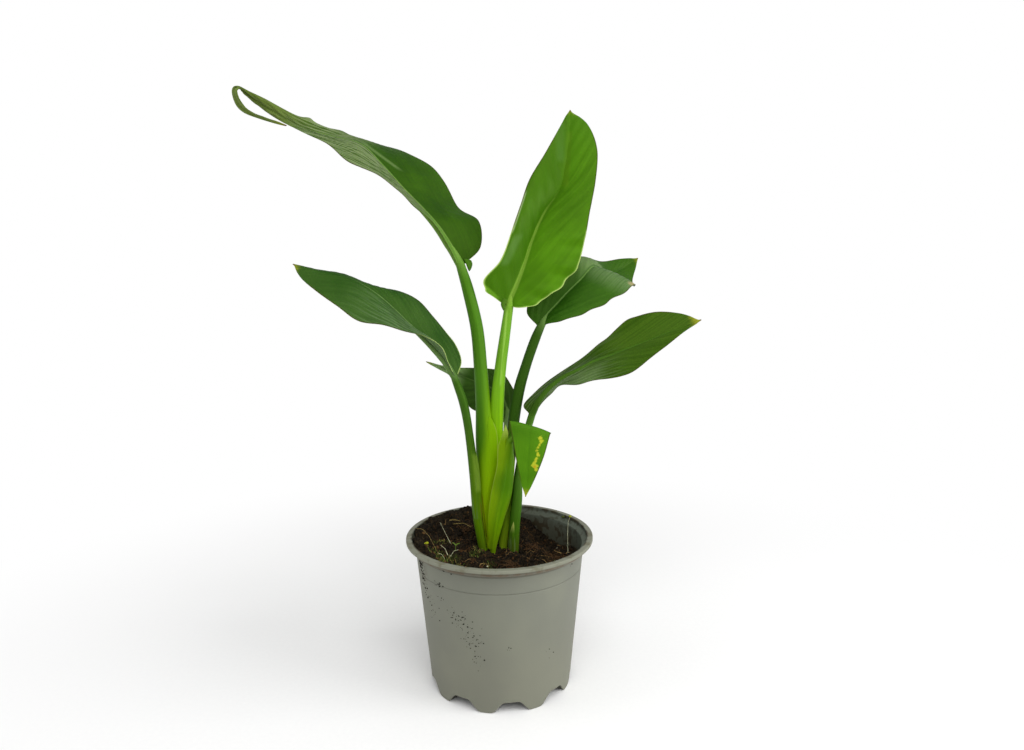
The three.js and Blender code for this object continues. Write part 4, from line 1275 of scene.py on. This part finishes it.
tall_left_leaf = grow_leaf(
    "tall_left_leaf",
    leaf_finish(
        "tall_left_green", dark=(24, 58, 0), light=(42, 78, 4), under=(110, 128, 84),
        rib=(104, 138, 60), stalk_top=(62, 108, 20), stalk_low=(52, 98, 2),
        rib_width=1.2, vein_slope=3.5, veins=0.5, tip_yellow=0.98, vein_fade=(0.45, 0.6),
        coats=tall_left_coats,
    ),
    stalk=[
        [-10, 3, 68, 3, 3],
        [-9.6, 2.4, 84, 3.6, 3.2],
        [-9.8, 3, 106, 4.2, 3.6],
        [-8.6, 3, 133, 5.2, 4.2],
        [-8.2, 3, 159, 6.3, 4.6],
        [-9.2, 3, 180, 5, 4.4],
        [-10.5, 3, 203, 4.3, 4],
        [-12.5, 3, 230, 4, 3.6],
        [-17.5, 2, 254, 3.6, 3.2],
        [-22, 1, 270, 2.8, 2.6],
    ],
    flaps=[[
        [[-9.6, -0.5, 95], [-11.5, 0.4, 95], [-7, -0.2, 95]],
        [[-9.2, -0.9, 113], [-11, -0.1, 113], [-6, -0.2, 113]],
        [[-8, -1, 122], [-10.5, -0.2, 122], [-4.5, 0, 122]],
        [[-6.8, -1.15, 131], [-10, -0.3, 131], [-2.5, 0.2, 131]],
        [[-5.5, -1.1, 142], [-9.5, -0.6, 142], [-0.5, 0.3, 142]],
        [[-5.5, -1.45, 157], [-9.5, -0.8, 157], [-0.4, 0.2, 157]],
        [[-6, -1.4, 165], [-9.5, -0.9, 165], [-0.9, -0.2, 165]],
        [[-6.3, -1.35, 171], [-9.2, -0.9, 171], [-2.7, -0.5, 171]],
        [[-5.4, -0.5, 175.5], [-5.8, -0.4, 175.5], [-4.9, -0.4, 175.5]],
    ], [
        [[-18.8, 1.5, 273.5], [-19.8, 1, 273.5], [-15.6, 3.5, 272.8]],
        [[-17.8, 1, 271], [-18.8, 0.8, 271], [-14.8, 3, 270.6]],
        [[-17.1, 1, 268.6], [-17.9, 1, 268.6], [-15.4, 2.4, 268.2]],
        [[-16.7, 2, 266.4], [-17.1, 2, 266.4], [-16.3, 2.2, 266.4]],
    ]],
    stations=[
        [[-22, 1, 270], [-23.5, 0, 270], [-19, 2, 271]],
        [[-27, 0, 281.5], [-28.5, -18, 282], [-9.5, 8, 281]],
        [[-35, -2, 294], [-36, -26, 294.5], [-10.5, 16, 297]],
        [[-44, -4, 304.5], [-46.5, -30, 303.5], [-23, 20, 305.5]],
        [[-55, -6, 316], [-54.5, -31, 312], [-32.5, 20, 322.5]],
        [[-66, -8, 328.5], [-66.5, -31, 321], [-49, 18, 337]],
        [[-78, -10, 340.5], [-80.5, -30, 327.5], [-70, 12, 343]],
        [[-94, -12, 344.5], [-95, -27, 338.5], [-89.5, -2, 348]],
        [[-110.5, -13, 349], [-111.5, -20, 347], [-107, -10, 353.5]],
        [[-123, -14, 355.6], [-124.5, -15, 353.6], [-120.5, -13, 359.5]],
        [[-132.5, -15, 361.8], [-134, -13, 360.4], [-130, -17, 364.5]],
        [[-139.5, -16, 367], [-141, -15, 366.2], [-138, -18, 368.2]],
        [[-144, -17, 370.4], [-143.6, -17, 369.5], [-144.5, -18, 371.3]],
        [[-146.4, -18, 368.5], [-144.4, -20, 367.8], [-148.3, -16, 369.5]],
        [[-145.4, -18, 363], [-143.2, -20, 363.6], [-147.4, -16, 362.4]],
        [[-141.4, -18, 358.2], [-139.8, -19, 358.8], [-142.9, -17, 357.2]],
        [[-133.5, -18, 354.4], [-133.1, -19, 355.1], [-134.5, -17, 353.7]],
        [[-119, -16, 349.8], [-118.7, -16.5, 350.4], [-119.3, -15.5, 349.2]],
    ],
    camber=1,
    relief=pleats(0.25, 9, 3),
    frill=tall_left_frill,
    rib_end=0.5,
)
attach(tall_left_leaf, "root")
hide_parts("leaf_tall_left")

# Centre leaf
# The young leaf in the middle, the brightest and glossiest one. Its upper face is towards the
# front, softly pleated, with a pale midrib and a wavy lower right margin.
def centre_coats(place, mark):
    """Painted shade on the left half, a darker tip, soft streaks among them painted sheen, shadow and
    highlight, a pale rim round the low lobe and a painted glint on the stalk.
    """
    on_blade = 1 - mark["stalk"]
    lobe_rim = mark["edge"].rise(1.6, 0.6) * mark["share"].rise(0.3, 0.2) * on_blade
    # Painted highlight: a glint along the stalk.
    glint = streak(place, (1.8, 195), (6.2, 242), 1.2) * mark["stalk"] * mark["runs"].rise(0.35, 0.55)
    return [
        # Painted shade: the left half of the blade is darkened.
        (mark["across"].rise(0.5, -3) * on_blade * 0.72, 44, 84, 0),
        # Painted sheen: a pale streak near the tip.
        (streak(place, (42, 334), (41, 358), 5) * 0.18, 92, 130, 70),
        (streak(place, (44, 318), (47.5, 352), 3) * 0.3, 92, 120, 20),
        # Painted shadow: a dark streak beside the midrib.
        (streak(place, (24, 292), (41, 316), 3.5) * on_blade * 0.4, 38, 78, 4),
        # Painted sheen: a faint pale streak low on the left half, by the margin.
        (streak(place, (5, 270), (14, 288), 4) * on_blade * 0.2, 104, 138, 80),
        # Painted highlight: a pale line just inside the rolled-back left margin.
        (streak(place, (10, 290), (18.6, 314), 1.2) * on_blade * 0.7, 140, 160, 110),
        (streak(place, (0, 249.5), (-8, 257.5), 3) * on_blade * 0.6, 100, 152, 34),
        (place.axis("Z").rise(325, 360) * on_blade * 0.5, 50, 94, 4),
        (lobe_rim * 0.4, 140, 172, 76),
        (mark["sheath"] * 0.8, 44, 76, 12),
        (glint * 0.4, 166, 208, 96),
    ]


def centre_folds(outs, across, along, share):
    """Soft pleats, a wavy lower right margin, and the left margin rolled back."""
    soft = pleats(0.34, 13, 1.3)(outs, across, along, share)
    ripple = np.sin(2 * math.pi * along / 15 + 0.8) + 0.5 * np.sin(2 * math.pi * along / 7.3)
    wavy = 1.2 * ripple * np.clip(outs, 0, 1) ** 3 * smooth_step(share, 0.42, 0.28)
    rolled_part = smooth_step(share, 0.25, 0.4) * smooth_step(share, 0.8, 0.6)
    rolled = -34 * np.clip(-outs - 0.8, 0, 1) ** 2 * rolled_part
    return soft + wavy + rolled


def centre_frill(out, share):
    """Ripples in the margin low on the right, and a sharper lobe low on the left."""
    if out < 0:
        return 1 + 0.15 * np.exp(-((share - 0.125) / 0.028) ** 2)
    ripple = np.sin(58 * share) + 0.6 * np.sin(97 * share + 1)
    return 1 + 0.028 * ripple * smooth_step(share, 0.4, 0.3) * smooth_step(share, 0.02, 0.1)


centre_leaf = grow_leaf(
    "centre_leaf",
    leaf_finish(
        "centre_leaf_green", dark=(54, 98, 2), light=(72, 122, 8), under=(104, 148, 40),
        rib=(112, 146, 50), stalk_top=(96, 146, 34), stalk_low=(122, 174, 0),
        low_height=165, veins=0.65, tip_yellow=0.99, pale_edge=0.38, gloss=0.36,
        rib_fade=(0.4, 0.65), coats=centre_coats,
    ),
    stalk=[
        [-5, 7, 67, 2.6, 2.6],
        [-5.5, 7, 83, 2.8, 2.8],
        [-3.5, 7, 118, 3.4, 3.2],
        [-1, 6, 145, 3.8, 3.6],
        [-1, 4, 167, 4.2, 3.8],
        [0, 3, 189, 4.1, 3.8],
        [2, 3, 207, 3.6, 3.5],
        [4.5, 3, 224, 3.3, 3.2],
        [7.5, 3, 244, 2.8, 2.8],
    ],
    flaps=[[
        [[5.4, 0, 249], [4.2, -0.2, 249.5], [6.6, 0.2, 248.5]],
        [[3.6, -0.6, 245.5], [2.4, -0.6, 246], [4.8, -0.5, 245]],
        [[4.4, -0.2, 241.5], [4, -0.2, 241.5], [4.8, -0.2, 241.5]],
    ]],
    stations=[
        [[7.5, 3, 244], [5.5, 2, 244.5], [9.5, 2, 244]],
        [[9, 4, 250], [-3.5, 0, 252], [20.5, -2, 244.5]],
        [[13, 6, 259], [-8, -3, 260.5], [34, -1, 252]],
        [[18, 9, 272], [2, -2, 272], [48.5, 0, 266]],
        [[22.5, 12, 285], [8.5, 0, 286.5], [54.5, 3, 284]],
        [[30, 16, 301], [15.5, 5, 305.5], [58, 7, 301]],
        [[41, 20, 317], [21.5, 14, 322.5], [62.5, 13, 322]],
        [[45, 24, 334], [32, 22, 339.5], [64, 19, 341]],
        [[47.5, 28, 352], [42, 29, 356.5], [59, 26, 356.5]],
        [[48.5, 32, 366.5], [47.5, 32, 366.5], [49, 32, 366]],
    ],
    camber=1.2,
    relief=centre_folds,
    frill=centre_frill,
)
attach(centre_leaf, "root")
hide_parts("leaf_centre")

# Folded leaf
# A short leaf in front whose blade is folded over its stalk and hangs down, with a yellow mottled
# mark. The broad sheath round the middle of the plant belongs to it.
SHEATH_LEAN = 0.19
YELLOW_MARK = [
    (25.1, 165.6, 1.0), (25.8, 163.6, 1.2), (24.8, 161.6, 0.7), (23.7, 159.8, 0.7), (23.2, 158, 0.8),
    (23.8, 156.4, 0.8), (23.9, 154.8, 0.7), (23.1, 153.3, 0.7), (22.3, 151.8, 0.8), (21.4, 150.3, 0.9),
    (20.9, 148.7, 1.3), (22.9, 148.2, 0.8), (22.6, 146.4, 1.1),
]


def folded_coats(place, mark):
    """The yellow mark on the blade, and the sheath: bright on the left, rusty low on the right."""
    x, z = place.axis("X"), place.axis("Z")
    on_blade = (1 - mark["stalk"]) * (1 - mark["sheath"])
    low_sheath = 1 - on_blade
    ragged = place.grain(0.8, 3) * 2.6
    flat = place.stretch(1, 0, 1)
    from_middle = x - (z - 92) * SHEATH_LEAN
    middle = flat.distance((4.5, 0, 134)).rise(13, 2)

    def spot(across, height, outside, inside):
        """1 inside a ragged spot on the blade, as seen from the front."""
        return (flat.distance((across, 0, height)) + ragged).rise(outside, inside) * on_blade

    return [
        (on_blade * z.rise(156, 174) * 0.5, 46, 90, 8),
        *[(spot(*point, size + 1.8, size + 0.9) * 0.8, 176, 178, 44) for *point, size in YELLOW_MARK],
        (spot(21.6, 148, 2.4, 1.6) * 0.6, 176, 118, 20),
        (low_sheath * from_middle.rise(-4, -10) * 0.8, 112, 146, 0),
        (low_sheath * middle * 0.6, 52, 98, 0),
        (low_sheath * z.rise(160, 170) * 0.7, 160, 178, 84),
        (low_sheath * from_middle.rise(-1.5, 2.5) * z.rise(128, 112) * 0.6, 92, 74, 4),
    ]


folded_leaf = grow_leaf(
    "folded_leaf",
    leaf_finish(
        "folded_leaf_green", dark=(56, 104, 4), light=(80, 130, 16), under=(84, 130, 28),
        rib=(60, 110, 12), stalk_top=(76, 118, 2), stalk_low=(96, 132, 0),
        low_height=88, rib_width=0.5, vein_slope=12, veins=0.5, tip_yellow=0.93, coats=folded_coats,
    ),
    stalk=[
        [-4.9, -5, 72, 1.6, 2],
        [-4.5, -5, 87.5, 1.8, 2.2],
        [-2.3, -5, 107.5, 4.6, 3.4],
        [2, -4.5, 127, 6.2, 4],
        [4, -4.5, 143, 5.2, 3.8],
        [6, -6, 153.5, 3.4, 3],
        [7, -8, 161, 2, 2],
    ],
    flaps=[[
        [[-4.8, -7.7, 90], [-6.9, -6.6, 90], [-2.8, -6.3, 90]],
        [[-2.3, -9.1, 109], [-7.3, -6.7, 109], [2.8, -6.3, 109]],
        [[0.6, -9, 122], [-6, -6.2, 122], [6.9, -5.6, 122]],
        [[2.6, -9, 132], [-4.1, -6, 132], [8.8, -5, 132]],
        [[4.2, -8.8, 145], [-1.2, -6, 145], [10, -5, 145]],
        [[4, -8.2, 156], [-0.5, -6, 156.4], [8.9, -5.5, 156]],
        [[4.3, -7.2, 163], [1.7, -6, 163], [7, -6, 163]],
        [[4.5, -6, 171], [4.1, -6, 171], [4.9, -6, 171]],
    ]],
    stations=[
        [[7, -8, 161], [8.5, -8.5, 160.5], [6, -8.5, 161.5]],
        [[11.5, -11, 167], [20.5, -11.5, 163.5], [6, -11, 167]],
        [[15.5, -13, 171], [29, -13, 167], [6, -13, 173]],
        [[19, -16.5, 173], [32, -16.5, 168], [6.5, -16.5, 176]],
        [[18.5, -19, 170.5], [31, -19, 166.5], [7, -18.5, 173]],
        [[18.5, -20, 158.5], [27.5, -20.5, 154.5], [9.5, -19, 158]],
        [[17.5, -20.5, 144], [22.5, -21, 142], [12, -20, 143.5]],
        [[16, -21, 129], [16.5, -21, 129], [15.5, -21, 129]],
    ],
    camber=0.4,
)
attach(folded_leaf, "root")
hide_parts("leaf_folded")

# Studio
# A wide pale floor that runs out into a white surround, with one large soft lamp above and in
# front of the plant, and two weaker ones at the sides.
FLOOR_RADIUS = 2500
FLOOR_SIDES = 96
LAMP_AIM = Vector((0, 0, 200))
FLOOR_FADE = (120, 500)
LAMPS = [
    ((150, -1100, 1300), 1300, 18.0),
    ((1100, -400, 500), 700, 10.0),
    ((-1200, -100, 500), 800, 3.0),
]
SURROUND_LIGHT = 0.5


def floor_finish():
    """Pale board near the plant, which turns to an even white glow further out."""
    material, bench, place = start_finish("pale_floor")
    grain = place.grain(0.4, 3)
    board = bench.node("BsdfPrincipled", inputs={
        "Base Color": grain.mix(display(238, 238, 238), display(244, 244, 243)),
        "Roughness": 0.75 + grain * 0.1,
        "Specular IOR Level": 0.1,
    })
    glow = bench.node("Emission", inputs={"Strength": 1.0})
    far = place.distance((0, 0, 0)).rise(*FLOOR_FADE)
    both = bench.node("MixShader", inputs={"Fac": far, "Shader": board, "Shader_001": glow})
    bench.node("OutputMaterial", inputs={"Surface": both})
    return material


floor_turns = np.arange(FLOOR_SIDES) * 2 * math.pi / FLOOR_SIDES
floor_points = np.stack([np.cos(floor_turns), np.sin(floor_turns), 0 * floor_turns], axis=1) * FLOOR_RADIUS
floor_piece = make_piece("studio_floor", floor_finish(), floor_points, [tuple(range(FLOOR_SIDES))])

for number, (stand, width, power) in enumerate(LAMPS):
    lamp = bpy.data.lights.new(f"soft_lamp_{number}", "AREA")
    lamp.shape = "SQUARE"
    lamp.size = width * MM
    lamp.energy = power
    holder = bpy.data.objects.new(f"soft_lamp_{number}", lamp)
    holder.location = Vector(stand) * MM
    holder.rotation_euler = (LAMP_AIM - Vector(stand)).to_track_quat("-Z", "Y").to_euler()
    bpy.context.scene.collection.objects.link(holder)

# The surround is white behind the plant, and dimmer as a source of light on it.
surround = bpy.data.worlds.new("white_surround")
surround.use_nodes = True
surround.node_tree.nodes.clear()
backdrop = Wire(surround.node_tree)
seen = backdrop.node("LightPath", output="Is Camera Ray")
strength = seen * (1 - SURROUND_LIGHT) + SURROUND_LIGHT
light = backdrop.node("Background", inputs={"Color": (1, 1, 1, 1), "Strength": strength})
backdrop.node("OutputWorld", inputs={"Surface": light})
bpy.context.scene.world = surround
bpy.context.scene.view_settings.view_transform = "Standard"
